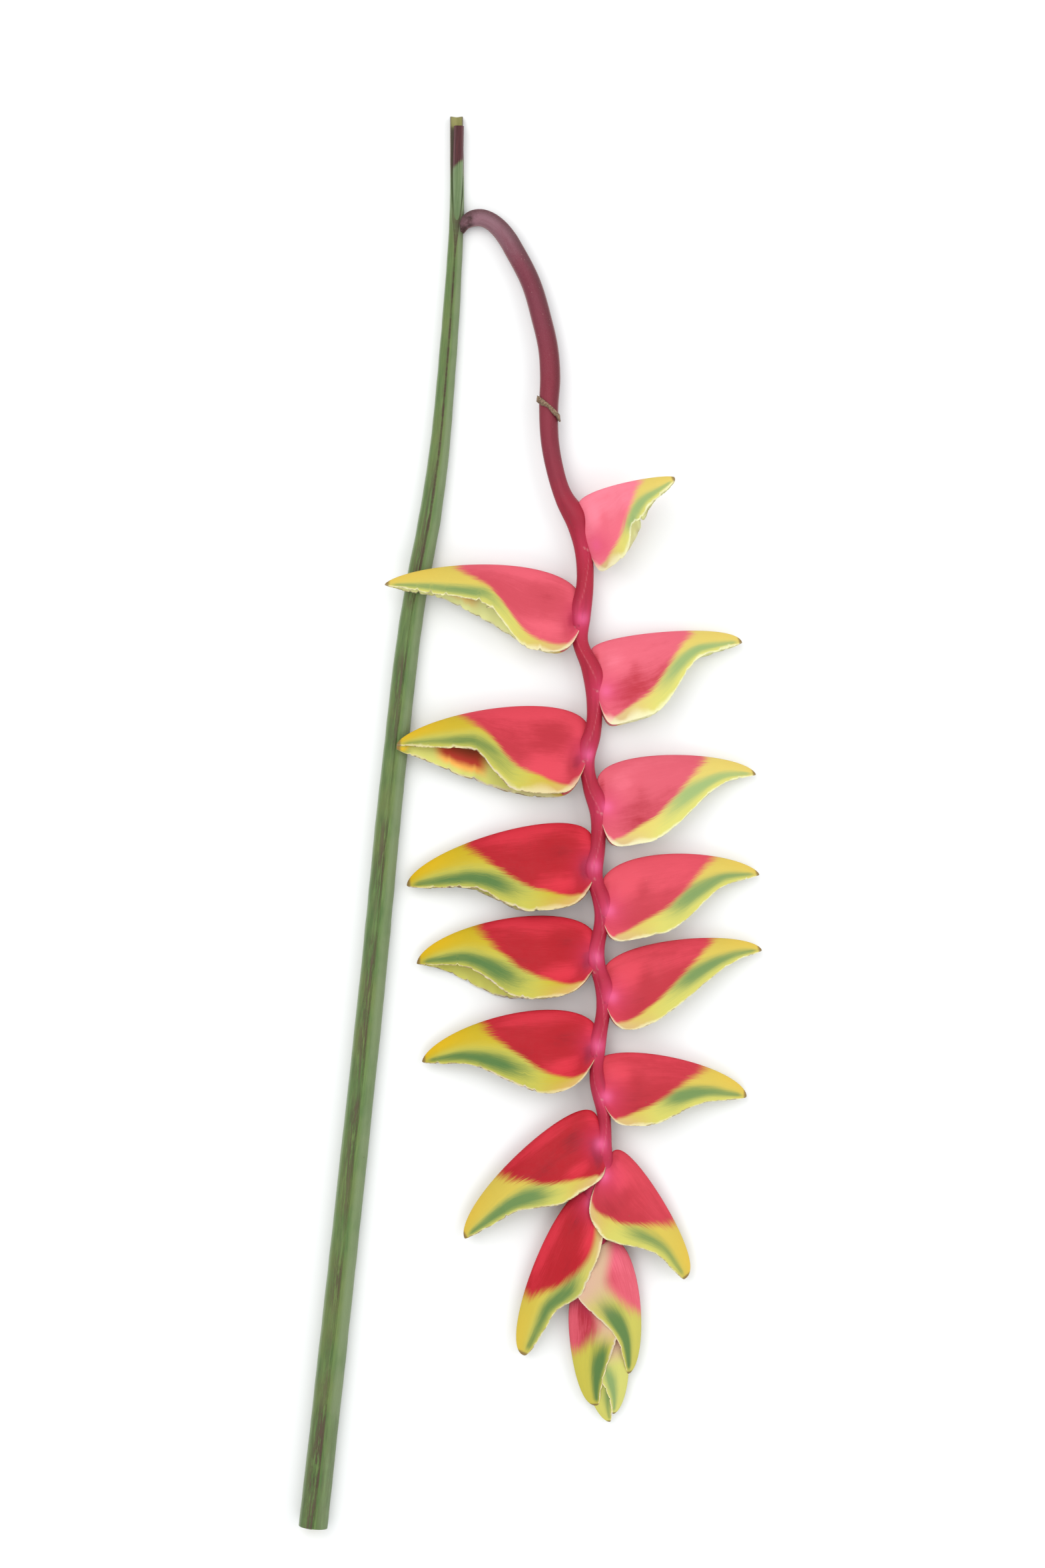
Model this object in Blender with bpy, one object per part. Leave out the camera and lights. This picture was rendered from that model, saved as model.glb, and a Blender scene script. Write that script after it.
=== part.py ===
"""Lobster claw heliconia: one cut stem with its hanging inflorescence, lying on a table.

+Y runs from the cut foot of the stem to the cut leaf stalks, +X to the inflorescence and +Z up from the
table. The origin is on the table, under the middle of the plant. Lengths below are in millimetres; the
meshes are made in metres.
"""

import math
from typing import NamedTuple

import bmesh
import bpy
import numpy as np

MM = 0.001
GAP = 0.3  # clearance between neighbouring pieces
WALL = 0.9  # thickness of a full bract's cheeks
THIN_WALL = 0.6  # thickness of the cheeks of the bracts in the nested end
KEEL_WALL = 1.4  # thickness under a bract's keel, as a multiple of its cheeks
SCRAP_SHARE = 0.2  # a loose piece with less than this share of a mesh's faces is a scrap


class Station(NamedTuple):
    """One point of a stem's centre line, with the stem's radius there."""

    x: float
    y: float
    z: float
    radius: float


class Bract(NamedTuple):
    """A folded, boat-shaped bract: its straight line from root to tip, and how far it swells from it."""

    name: str
    side: int  # +1 grows to the right of the stalk, -1 to the left
    root: tuple  # x, y, z on the stalk's centre line
    tip: tuple  # x, y, z
    rise: float  # keel above the line
    drop: float  # free margins below the line
    near_mouth: tuple  # shares of the length between which the upper margin climbs to the line
    far_mouth: tuple  # the same for the margin on the table's side
    slant: float = 0.0  # lean of the base, keel end backwards
    half_width: float = 9.3
    roll: float = 0.0  # degrees that the mouth turns up from the table
    keel_base: float = 0.25  # how slowly the keel rises from the root; a square base has less
    taper: float = 0.6  # how early the keel comes down to the tip; a blunt bract has less
    tip_share: float = 0.12  # share of the drop that the margins keep until close to the tip
    base_round: float = 0.03  # share of the length in which the margins reach their depth at the base


# the pseudostem, from its cut foot to the cut end of its own leaf stalk; z follows from the radius
STEM = [
    (-116.0, -381.4, 7.5),
    (-99.6, -233.0, 7.2),
    (-83.8, -86.0, 6.8),
    (-72.7, 26.0, 6.4),
    (-61.2, 120.0, 6.0),
    (-52.6, 166.0, 5.7),
    (-48.2, 197.0, 5.2),
    (-43.9, 243.0, 4.6),
    (-40.3, 292.0, 4.1),
    (-38.4, 328.0, 3.6),
    (-38.4, 381.5, 3.3),
]
STEM_SIDES = 14
STEM_STEP = 40.0
SHEATH_LAP = 0.5  # the rolled sheath's edge stands out this far
LAP_EDGE_TURN = 0.03  # and steps back within this share of a turn
STEM_LIFT = 0.12  # centre line above the height at which the plain section would touch the table
PRESSED_FLAT = 0.12  # corners lower than this lie on the table

# the inner leaf stalk, nested in the channel of the outer one
INNER_STALK = [
    Station(-38.6, 331.0, 4.6, 1.2),
    Station(-38.3, 334.0, 5.0, 2.0),
    Station(-38.1, 350.0, 5.1, 2.3),
    Station(-37.6, 376.2, 5.1, 2.2),
]
INNER_SIDES = 12
OUTER_STALK_ONWARD = 12.0  # the channel is open at least this far past the inner stalk's cut end
INNER_STEP = 7.0

# the flower stalk: out of the slit, over the arch, down to the collar and along the zigzag rachis
FLOWER_STALK = [
    Station(-36.6, 319.2, 4.4, 2.2),
    Station(-34.2, 323.4, 4.7, 3.4),
    Station(-31.0, 325.8, 5.2, 4.3),
    Station(-25.2, 326.6, 5.7, 4.7),
    Station(-20.4, 324.8, 6.1, 4.8),
    Station(-15.8, 321.1, 6.5, 5.0),
    Station(-11.3, 315.5, 6.9, 5.2),
    Station(-6.8, 307.8, 7.4, 5.3),
    Station(1.4, 291.6, 8.2, 5.3),
    Station(7.4, 271.4, 9.0, 5.4),
    Station(11.0, 255.0, 9.6, 5.4),
    Station(12.0, 240.0, 10.1, 5.5),
    Station(11.2, 223.0, 10.6, 5.2),
    Station(11.9, 204.8, 11.2, 4.9),
    Station(14.8, 189.0, 11.6, 4.7),
    Station(19.8, 172.8, 12.0, 4.6),
    Station(26.0, 159.5, 12.0, 4.6),
    Station(29.6, 148.0, 12.0, 4.7),
    Station(31.0, 127.4, 12.0, 4.5),
    Station(29.6, 111.0, 12.0, 4.4),
    Station(28.3, 98.0, 12.0, 4.2),
    Station(33.0, 82.8, 12.0, 4.2),
    Station(35.8, 66.0, 12.0, 4.2),
    Station(35.3, 47.0, 12.0, 4.1),
    Station(32.2, 33.0, 12.0, 3.9),
    Station(33.6, 18.0, 12.0, 3.9),
    Station(37.6, 4.0, 12.0, 4.1),
    Station(37.9, -13.0, 12.0, 3.9),
    Station(36.5, -30.0, 12.0, 3.8),
    Station(39.8, -50.0, 12.0, 3.9),
    Station(37.6, -71.0, 12.0, 3.7),
    Station(40.8, -98.0, 12.0, 3.8),
    Station(38.6, -120.0, 12.0, 3.6),
    Station(36.9, -140.0, 12.0, 3.5),
    Station(41.2, -160.0, 12.0, 3.5),
    Station(41.6, -176.0, 12.0, 3.3),
    Station(40.0, -187.0, 12.0, 3.1),
    Station(34.8, -201.0, 11.6, 2.8),
    Station(38.2, -214.0, 11.3, 2.6),
    Station(40.0, -228.0, 11.0, 2.4),
    Station(35.2, -254.0, 10.2, 2.0),
    Station(40.6, -272.0, 9.6, 1.6),
    Station(40.2, -282.5, 9.2, 1.1),
]
STALK_SIDES = 12
STALK_STEP = 9.5

# the dried collar on the flower stalk
COLLAR_CENTRE = (11.2, 223.2)  # x, y
COLLAR_HEIGHT = 3.2
COLLAR_THICKNESS = 1.0
COLLAR_CLEARANCE = 0.45  # between the collar's corners and the stalk's
COLLAR_SLANT = 0.85  # how far its plane runs down the stalk towards +X
COLLAR_ROUTE_STEP = 1.0
COLLAR_SIDES = 20

BRACTS = [
    Bract("right_1", 1, (31.0, 154.0, 12.0), (78.0, 183.6, 38.0), 17.8, 22.6, (0.28, 0.75), (0.29, 0.77),
          slant=-0.3, half_width=9.0, keel_base=0.1, taper=0.78, tip_share=0.39),
    Bract("left_1", -1, (29.8, 111.0, 12.0), (-77.0, 127.4, 18.6), 21.1, 24.2, (0.26, 0.52), (0.07, 0.77),
          slant=-0.15, half_width=9.0, roll=6.0, keel_base=0.3, taper=0.7, tip_share=0.11, base_round=0.05),
    Bract("right_2", 1, (35.4, 76.3, 12.0), (115.9, 96.8, 7.0), 18.8, 27.1, (0.32, 0.74), (0.31, 0.73),
          slant=-0.1, half_width=9.4, roll=3.0, keel_base=0.1, taper=0.52, tip_share=0.13, base_round=0.02),
    Bract("left_2", -1, (33.0, 37.5, 12.0), (-70.6, 41.4, 17.0), 24.0, 25.0, (0.34, 0.63), (0.2, 1.2),
          slant=0.1, half_width=9.2, roll=9.0, keel_base=0.28, taper=0.68, base_round=0.035),
    Bract("right_3", 1, (37.4, 9.7, 12.0), (123.5, 25.2, 5.6), 20.5, 25.6, (0.27, 0.85), (0.3, 0.87),
          slant=-0.1, half_width=9.4, keel_base=0.21, tip_share=0.05),
    Bract("left_3", -1, (37.0, -26.3, 12.0), (-65.5, -34.6, 6.0), 27.3, 20.3, (0.34, 0.69), (0.36, 0.73),
          slant=0.05, half_width=9.4, roll=2.0, keel_base=0.2, taper=0.61, tip_share=0.29, base_round=0.06),
    Bract("right_4", 1, (38.8, -46.1, 12.0), (125.3, -28.8, 6.0), 21.8, 20.9, (0.36, 0.82), (0.38, 0.84),
          slant=-0.15, keel_base=0.27, taper=0.65, tip_share=0.13),
    Bract("left_4", -1, (37.8, -74.9, 12.0), (-60.1, -77.0, 6.0), 24.7, 20.8, (0.38, 0.77), (0.44, 0.99),
          slant=0.1, roll=3.0, keel_base=0.31, taper=0.59, tip_share=0.13, base_round=0.075),
    Bract("right_5", 1, (40.2, -92.9, 12.0), (126.7, -69.8, 5.6), 19.0, 23.5, (0.17, 0.9), (0.2, 0.92),
          slant=-0.2, keel_base=0.22, taper=0.58, tip_share=0.1, base_round=0.045),
    Bract("left_5", -1, (38.8, -121.7, 12.0), (-57.2, -130.0, 6.0), 22.6, 23.5, (0.24, 0.81), (0.27, 0.83),
          slant=0.15, half_width=9.2, keel_base=0.37, taper=0.65, tip_share=0.18, base_round=0.075),
    Bract("right_6", 1, (37.8, -145.1, 12.0), (118.4, -148.7, 6.0), 21.2, 18.3, (0.25, 0.78), (0.28, 0.8),
          slant=0.3, half_width=9.2, keel_base=0.24, taper=0.58, tip_share=0.29),
    Bract("left_6", -1, (41.8, -175.6, 12.0), (-34.2, -225.4, 8.0), 25.4, 13.1, (0.31, 0.69), (0.31, 0.71),
          slant=0.4, half_width=11.0, keel_base=0.19, tip_share=0.24, base_round=0.02),
    Bract("right_7", 1, (40.4, -185.5, 12.0), (85.0, -247.3, 8.0), 15.8, 23.4, (0.28, 0.79), (0.28, 0.79),
          slant=0.4, half_width=9.9, keel_base=0.2, taper=0.43, tip_share=0.25, base_round=0.05),
    Bract("left_7", -1, (34.4, -200.0, 11.6), (-2.5, -288.7, 7.0), 13.7, 18.4, (0.5, 0.72), (0.5, 0.72),
          slant=0.35, half_width=8.7, keel_base=0.45, taper=0.48, tip_share=0.54, base_round=0.09),
    Bract("right_8", 1, (40.2, -227.0, 11.0), (54.4, -298.8, 7.0), 14.3, 20.3, (0.23, 0.79), (0.23, 0.79),
          slant=0.2, half_width=7.2, keel_base=0.35, taper=0.59, tip_share=0.13, base_round=0.045),
    Bract("left_8", -1, (35.0, -254.0, 9.5), (37.4, -316.1, 6.2), 13.6, 14.4, (0.19, 0.88), (0.19, 0.88),
          slant=0.3, half_width=4.9, keel_base=0.21, taper=0.43, tip_share=0.38, base_round=0.045),
    Bract("right_9", 1, (41.2, -272.0, 8.3), (46.2, -320.8, 5.6), 11.5, 10.0, (0.2, 0.9), (0.2, 0.9),
          slant=0.2, half_width=3.7, keel_base=0.35, tip_share=0.2),
    Bract("left_9", -1, (40.0, -284.0, 7.6), (44.3, -325.1, 5.1), 10.5, 8.0, (0.2, 0.9), (0.2, 0.9),
          slant=0.1, half_width=2.3, keel_base=0.35, tip_share=0.5),
]
CHEEK_BASE = 0.35  # exponent with which a bract's cheeks open from its root
CHEEK_TAPER = 0.65  # and with which they close at the tip
LENGTH_CELLS = 12  # cells from root to tip on a full bract
CHEEK_CELLS = 4  # cells from keel to margin
SMALL_LENGTH_CELLS = 10  # cells from root to tip on the small bracts of the nested end
NESTED_FROM = 12  # from this place in the list on each bract sits in the mouths of the two before it

# the flowers inside a bract
FLOWER_ROOT = 0.16  # place of their foot, as a share of the bract's length
FLOWERS = [  # reach as a share of the length, sideways place of the tip, rise as a share of the drop
    (0.52, -2.8, 0.10),
    (0.46, 2.6, 0.02),
    (0.36, 0.2, -0.34),
]
SHOWING_FLOWERS = {"left_1": (0.485, 3.2, -0.17)}  # a first flower that shows at the mouth's edge
FLOWER_RADIUS = 1.9
FLOWER_SIDES = 5
FLOWER_STATIONS = 5

GREEN = (0.16, 0.28, 0.09)
PALE_GREEN = (0.24, 0.30, 0.12)
MAUVE = (0.30, 0.10, 0.12)
TAN = (0.32, 0.20, 0.10)
RED = (0.60, 0.03, 0.06)
CREAM = (0.75, 0.70, 0.40)


def clear_scene():
    for obj in list(bpy.data.objects):
        bpy.data.objects.remove(obj, do_unlink=True)


def material(name, colour, roughness):
    """A plain Principled material with the piece's colour and roughness."""
    finish = bpy.data.materials.new(name)
    finish.use_nodes = True
    shader = finish.node_tree.nodes["Principled BSDF"]
    shader.inputs["Base Color"].default_value = (*colour, 1.0)
    shader.inputs["Roughness"].default_value = roughness
    shader.inputs["Metallic"].default_value = 0.0
    return finish


def solid(name, points, faces, finish=None):
    """A closed mesh object from points in millimetres, with its faces turned outwards."""
    mesh = bpy.data.meshes.new(name)
    mesh.from_pydata((np.asarray(points) * MM).tolist(), [], faces)
    shape = bmesh.new()
    shape.from_mesh(mesh)
    bmesh.ops.triangulate(shape, faces=[face for face in shape.faces if len(face.verts) == 4])
    bmesh.ops.recalc_face_normals(shape, faces=shape.faces)
    shape.to_mesh(mesh)
    shape.free()
    obj = bpy.data.objects.new(name, mesh)
    bpy.context.scene.collection.objects.link(obj)
    if finish:
        mesh.materials.append(finish)
    return obj


def drop_scraps(mesh):
    """Keeps the one large piece of a cut mesh and drops the crumbs that the cut left loose."""
    shape = bmesh.new()
    shape.from_mesh(mesh)
    waiting = set(shape.faces)
    total = len(waiting)
    while waiting:
        island = {waiting.pop()}
        edge_of_island = list(island)
        while edge_of_island:
            face = edge_of_island.pop()
            around = {near for edge in face.edges for near in edge.link_faces} & waiting
            waiting -= around
            island |= around
            edge_of_island.extend(around)
        if len(island) < SCRAP_SHARE * total:
            bmesh.ops.delete(shape, geom=list(island), context="FACES")
    shape.to_mesh(mesh)
    shape.free()


def combine(target, others, operation):
    """Cuts or joins the other solids into the target, then removes them."""
    for other in others:
        step = target.modifiers.new(operation.title(), "BOOLEAN")
        step.object = other
        step.operation = operation
        step.solver = "EXACT"
    finished = bpy.data.meshes.new_from_object(target.evaluated_get(bpy.context.evaluated_depsgraph_get()))
    target.modifiers.clear()
    target.data = finished
    finished.name = target.name
    drop_scraps(finished)
    for other in others:
        bpy.data.objects.remove(other, do_unlink=True)


def smooth_route(stations, step):
    """Cubic curve through the stations, its slope at each one taken from its two neighbours.

    Every column is interpolated, so the radius runs as smoothly as the centre line.
    """
    values = np.array(stations, dtype=float)
    spans = np.linalg.norm(np.diff(values[:, :2], axis=0), axis=1)
    along = np.concatenate([[0.0], np.cumsum(spans)])
    slopes = np.gradient(values, along, axis=0)
    wanted = np.linspace(0.0, along[-1], max(3, round(along[-1] / step) + 1))
    cell = np.clip(np.searchsorted(along, wanted, side="right") - 1, 0, len(spans) - 1)
    width = spans[cell][:, None]
    t = ((wanted - along[cell]) / spans[cell])[:, None]
    return (
        (2 * t**3 - 3 * t**2 + 1) * values[cell]
        + (t**3 - 2 * t**2 + t) * width * slopes[cell]
        + (3 * t**2 - 2 * t**3) * values[cell + 1]
        + (t**3 - t**2) * width * slopes[cell + 1]
    )


def skin(rings, ends="flat"):
    """Faces between rings of equal size. The ends are "flat", "open", or "joined" as on a hoop."""
    count, sides = rings.shape[:2]
    corner = np.arange(sides)
    after = (corner + 1) % sides
    faces = []
    for band in range(count if ends == "joined" else count - 1):
        here = band * sides
        there = (band + 1) % count * sides
        faces += np.column_stack([here + corner, here + after, there + after, there + corner]).tolist()
    if ends == "flat":
        faces += [list(range(sides)), list(range((count - 1) * sides, count * sides))]
    return rings.reshape(-1, 3), faces


def cross_axes(centres):
    """Sideways and upward directions square to a centre line that runs near the table."""
    forward = np.gradient(centres, axis=0)
    forward /= np.linalg.norm(forward, axis=1)[:, None]
    sideways = np.cross(forward, (0.0, 0.0, 1.0))
    sideways /= np.linalg.norm(sideways, axis=1)[:, None]
    return sideways, np.cross(sideways, forward)


def directions_around(centres, angle):
    """Unit vectors square to the centre line, for each centre and each angle from the sideways direction."""
    sideways, upward = cross_axes(centres)
    right = np.cos(angle)[None, :, None] * sideways[:, None, :]
    above = np.sin(angle)[None, :, None] * upward[:, None, :]
    return right + above


def tube_rings(route, sides, extra=0.0):
    """Round rings square to the route, each with the route's radius and an extra one."""
    angle = np.arange(sides) * 2 * math.pi / sides
    radius = (route[:, 3] + extra)[:, None, None]
    return route[:, None, :3] + radius * directions_around(route[:, :3], angle)


def longer(route, before, after):
    """The route with its first and last station moved outwards, by a length at each end."""
    stretched = route.copy()
    for end, inside, length in ((0, 1, before), (-1, -2, after)):
        outwards = route[end, :3] - route[inside, :3]
        stretched[end, :3] += outwards / np.linalg.norm(outwards) * length
    return stretched


def flower_stalk_solid(name, extra=0.0, finish=None):
    """The peduncle and rachis in one; with an extra radius it is the cutter for what touches it."""
    route = longer(smooth_route(FLOWER_STALK, STALK_STEP), extra, extra)
    return solid(name, *skin(tube_rings(route, STALK_SIDES, extra)), finish)


def inner_stalk_solid(name, extra=0.0, finish=None):
    """The nested leaf stalk; the cutter made with an extra radius runs on past its cut end."""
    route = smooth_route(INNER_STALK, INNER_STEP)
    if extra:
        route = longer(route, extra, OUTER_STALK_ONWARD)
    return solid(name, *skin(tube_rings(route, INNER_SIDES, extra)), finish)


def pseudostem():
    """A rolled sheath lying on the table.

    Its section is a spiral: the radius falls by the sheath's lap in one turn and steps back at the lap's
    edge. Two corners at the bottom are pressed flat on the table.
    """
    route = smooth_route(STEM, STEM_STEP)
    corner = np.arange(STEM_SIDES)
    lap = np.append(SHEATH_LAP * (1.0 - corner / STEM_SIDES), 0.0)
    turn = np.append((corner + 1) / STEM_SIDES, 1 / STEM_SIDES + 1.0 - LAP_EDGE_TURN)
    angle = turn * 2 * math.pi
    height = route[:, 2] * math.cos(math.pi / STEM_SIDES) + STEM_LIFT
    centres = np.column_stack([route[:, 0], route[:, 1], height])
    reach = (route[:, 2][:, None] + lap[None, :])[:, :, None]
    rings = centres[:, None, :] + reach * directions_around(centres, angle)
    rings[:, :, 2] = np.where(rings[:, :, 2] < PRESSED_FLAT, 0.0, rings[:, :, 2])
    stem = solid("pseudostem", *skin(rings), material("sheath_green", GREEN, 0.45))
    cutters = [flower_stalk_solid("stalk_cutter", GAP), inner_stalk_solid("inner_cutter", GAP)]
    combine(stem, cutters, "DIFFERENCE")


def collar():
    """A slanting band round the flower stalk, its far edge dried to an uneven frill."""
    route = smooth_route(FLOWER_STALK, COLLAR_ROUTE_STEP)
    nearest = np.argmin(np.hypot(route[:, 0] - COLLAR_CENTRE[0], route[:, 1] - COLLAR_CENTRE[1]))
    sideways, upward = cross_axes(route[:, :3])
    across, up = sideways[nearest], upward[nearest]
    onward = np.cross(up, across)
    angle = np.arange(COLLAR_SIDES) * 2 * math.pi / COLLAR_SIDES
    inner = route[nearest, 3] + COLLAR_CLEARANCE
    near_edge = -COLLAR_HEIGHT / 2
    far_edge = COLLAR_HEIGHT / 2 + 0.5 * np.sin(3 * angle) + 0.35 * np.sin(7 * angle + 1.0)
    section = [
        (inner, near_edge),
        (inner + COLLAR_THICKNESS, near_edge),
        (inner + COLLAR_THICKNESS * 1.2, far_edge),
        (inner, far_edge),
    ]
    rings = []
    for out, along in section:
        right = (out * np.cos(angle))[:, None]
        above = (out * np.sin(angle))[:, None]
        shift = np.reshape(along, (-1, 1)) - COLLAR_SLANT * right
        rings.append(route[nearest, :3] + right * across + above * up + shift * onward)
    solid("collar", *skin(np.array(rings), ends="joined"), material("dried_collar", TAN, 0.85))


def smoothstep(value, start, end):
    share = np.clip((value - start) / (end - start), 0.0, 1.0)
    return share * share * (3 - 2 * share)


def swelling(t, base, taper):
    """0 at root and tip and 1 at the widest place: t^base (1 - t)^taper over its own greatest value."""
    widest = base / (base + taper)
    return t**base * (1 - t) ** taper / (widest**base * (1 - widest) ** taper)


def margin_fall(t, bract, mouth):
    """Depth of a free margin under the line, as a share of the drop.

    It falls from the root as 1 - exp(-t / base_round) and climbs again between the mouth's two shares, except
    for a small part that stays until close to the tip.
    """
    belly = 1.0 - smoothstep(t, *mouth)
    kept = bract.tip_share * (1 - t) ** 0.4
    return (1 - np.exp(-t / bract.base_round)) * ((1 - bract.tip_share) * belly + kept)


def bract_axes(bract):
    """Root, length and the directions of a bract: along it, towards its keel and towards its upper cheek."""
    root = np.array(bract.root)
    line = np.array(bract.tip) - root
    length = np.linalg.norm(line)
    along = line / length
    level = np.array([-along[1], along[0], 0.0]) * bract.side
    level /= np.linalg.norm(level)
    lifted = np.cross(along, level) * bract.side
    turn = math.radians(bract.roll)
    keelward = level * math.cos(turn) - lifted * math.sin(turn)
    upper = lifted * math.cos(turn) + level * math.sin(turn)
    return root, length, along, keelward, upper


def bract_surface(bract, length_cells, wall, extra):
    """Closed rings of a bract's thin folded shell.

    t runs from root to tip and s from the far margin (-1) over the keel (0) to the near margin (1). The outer
    skin falls from the keel to the margin as |s|^1.1, and its half width opens as 1 - (1 - |s|)^2.2 and
    closes a little at the margin. The inner skin is the same shape less the wall, and its hollow fades out at
    both ends. An extra thickens the shell on both sides, for the cutter that clears a neighbour.
    """
    root, length, along, keelward, upper = bract_axes(bract)
    t = (1 - np.cos(math.pi * np.arange(1, length_cells) / length_cells)) / 2
    s = np.linspace(-1.0, 1.0, 2 * CHEEK_CELLS + 1)
    t, s = t[:, None], s[None, :]
    keel = bract.rise * swelling(t, bract.keel_base, bract.taper) + extra
    near = -bract.drop * margin_fall(t, bract, bract.near_mouth) - extra
    far = -bract.drop * margin_fall(t, bract, bract.far_mouth) - extra
    margin = np.where(s < 0, far, near)
    depth = np.abs(s)
    swell = bract.half_width * swelling(t, CHEEK_BASE, CHEEK_TAPER) + extra
    wall = wall + 2 * extra
    keel_wall = KEEL_WALL * wall
    fold = (1 - (1 - depth) ** 2.2) * (1 - 0.12 * depth**3)
    outer_height = keel + (margin - keel) * depth**1.1
    outer_side = np.sign(s) * swell * fold
    hollow = smoothstep(t, 0.01, 0.08) * (1 - smoothstep(t, 0.86, 0.95))
    inner_height = (keel - keel_wall) + (margin - keel + keel_wall) * depth**1.1
    inner_side = outer_side * np.maximum(swell - wall, 0.3 * swell) / swell
    level = far + (near - far) * (s + 1) / 2
    lip = np.abs(inner_side[:, -1:]) * s
    inner_height = level + (inner_height - level) * hollow
    inner_side = lip + (inner_side - lip) * hollow
    lean = bract.slant * (1 - t)
    rings = []
    for height, side in [(outer_height, outer_side), (inner_height[:, ::-1], inner_side[:, ::-1])]:
        run = length * t - lean * height
        rings.append(root + run[..., None] * along + height[..., None] * keelward + side[..., None] * upper)
    return np.concatenate(rings, axis=1), root, root + length * along


def bract_solid(name, place, extra=0.0, finish=None):
    """The closed shell of the bract at a place in the list, running to a point at its root and at its tip."""
    nested = place >= NESTED_FROM
    cells = SMALL_LENGTH_CELLS if nested else LENGTH_CELLS
    rings, root, tip = bract_surface(BRACTS[place], cells, THIN_WALL if nested else WALL, extra)
    points, faces = skin(rings, ends="open")
    sides = rings.shape[1]
    last = len(points) - sides
    root_corner, tip_corner = len(points), len(points) + 1
    for corner in range(sides):
        after = (corner + 1) % sides
        faces.append((root_corner, after, corner))
        faces.append((tip_corner, last + corner, last + after))
    return solid(name, np.vstack([points, root, tip]), faces, finish)


def fitted_bract(place):
    """A bract cut clear of the stalk and, in the nested end, of the two older bracts that hold it."""
    bract = BRACTS[place]
    shell = bract_solid(f"bract_{bract.name}", place, finish=material(f"bract_red_{bract.name}", RED, 0.4))
    combine(shell, [flower_stalk_solid("stalk_cutter", GAP)], "DIFFERENCE")
    if place >= NESTED_FROM:
        for older in (place - 2, place - 1):
            combine(shell, [bract_solid("bract_cutter", older, GAP)], "DIFFERENCE")


def flower_bud(name, foot, straight, bend):
    """A slim bud: its centre line leaves along one vector and sinks by another, times t squared.

    It is thickest past the middle, with a blunt tip.
    """
    t = np.linspace(0.0, 1.0, FLOWER_STATIONS)[:, None]
    centres = foot + straight * t + bend * t**2
    thickness = FLOWER_RADIUS * (0.45 + 1.1 * t - 1.15 * t**3)
    angle = np.arange(FLOWER_SIDES) * 2 * math.pi / FLOWER_SIDES
    return solid(name, *skin(centres[:, None, :] + thickness[:, :, None] * directions_around(centres, angle)))


def flowers(bract):
    """The bunch of slim flowers in one bract's mouth, joined at their foot."""
    root, length, along, keelward, upper = bract_axes(bract)
    foot = root + FLOWER_ROOT * length * along
    tips = [SHOWING_FLOWERS.get(bract.name, FLOWERS[0]), *FLOWERS[1:]]
    buds = []
    for number, (reach, aside, fall) in enumerate(tips):
        straight = (reach - FLOWER_ROOT) * length * along + aside * upper
        buds.append(flower_bud(f"bud_{number}", foot, straight, fall * bract.drop * keelward))
    bunch = buds[0]
    bunch.name = f"flowers_{bract.name}"
    bunch.data.materials.append(material(f"flower_cream_{bract.name}", CREAM, 0.5))
    combine(bunch, buds[1:], "UNION")


def build():
    clear_scene()
    pseudostem()
    inner_stalk_solid("inner_leaf_stalk", finish=material("stalk_purple", PALE_GREEN, 0.5))
    flower_stalk_solid("flower_stalk", finish=material("downy_mauve", MAUVE, 0.8))
    collar()
    for place, bract in enumerate(BRACTS):
        fitted_bract(place)
        if place < NESTED_FROM:
            flowers(bract)
    for obj in bpy.context.scene.objects:
        obj.data.shade_smooth()
        obj.data.set_sharp_from_angle(angle=math.radians(40))


build()
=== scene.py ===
"""Looks of a cut lobster claw heliconia that lies on a table: its skins, colours, light and camera.

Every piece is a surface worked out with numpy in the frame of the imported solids, and replaces the plain
solid of the same name. Lengths are in millimetres where nothing else is said.
"""

import math
from typing import NamedTuple

import bmesh
import bpy
import numpy as np
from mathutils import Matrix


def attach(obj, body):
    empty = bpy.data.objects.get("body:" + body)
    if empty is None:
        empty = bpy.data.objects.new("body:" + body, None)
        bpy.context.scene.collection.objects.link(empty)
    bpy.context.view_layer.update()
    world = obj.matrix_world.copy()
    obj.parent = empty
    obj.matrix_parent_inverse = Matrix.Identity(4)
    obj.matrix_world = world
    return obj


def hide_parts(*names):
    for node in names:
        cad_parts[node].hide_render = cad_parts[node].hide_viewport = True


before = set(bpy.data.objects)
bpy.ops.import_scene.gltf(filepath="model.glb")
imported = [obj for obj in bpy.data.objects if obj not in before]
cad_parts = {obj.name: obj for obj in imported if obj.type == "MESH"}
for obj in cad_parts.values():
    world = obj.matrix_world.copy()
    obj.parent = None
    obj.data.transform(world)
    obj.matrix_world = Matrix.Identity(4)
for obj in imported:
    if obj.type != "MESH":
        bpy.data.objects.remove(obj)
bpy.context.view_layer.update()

MM = 0.001
TURN = 2 * math.pi
SHARP_FROM = 55  # degrees between two faces past which their edge isn't smoothed
LAYER_STEP = 7.31  # how far the fibres of one piece lie from those of the next in their noise


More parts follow.
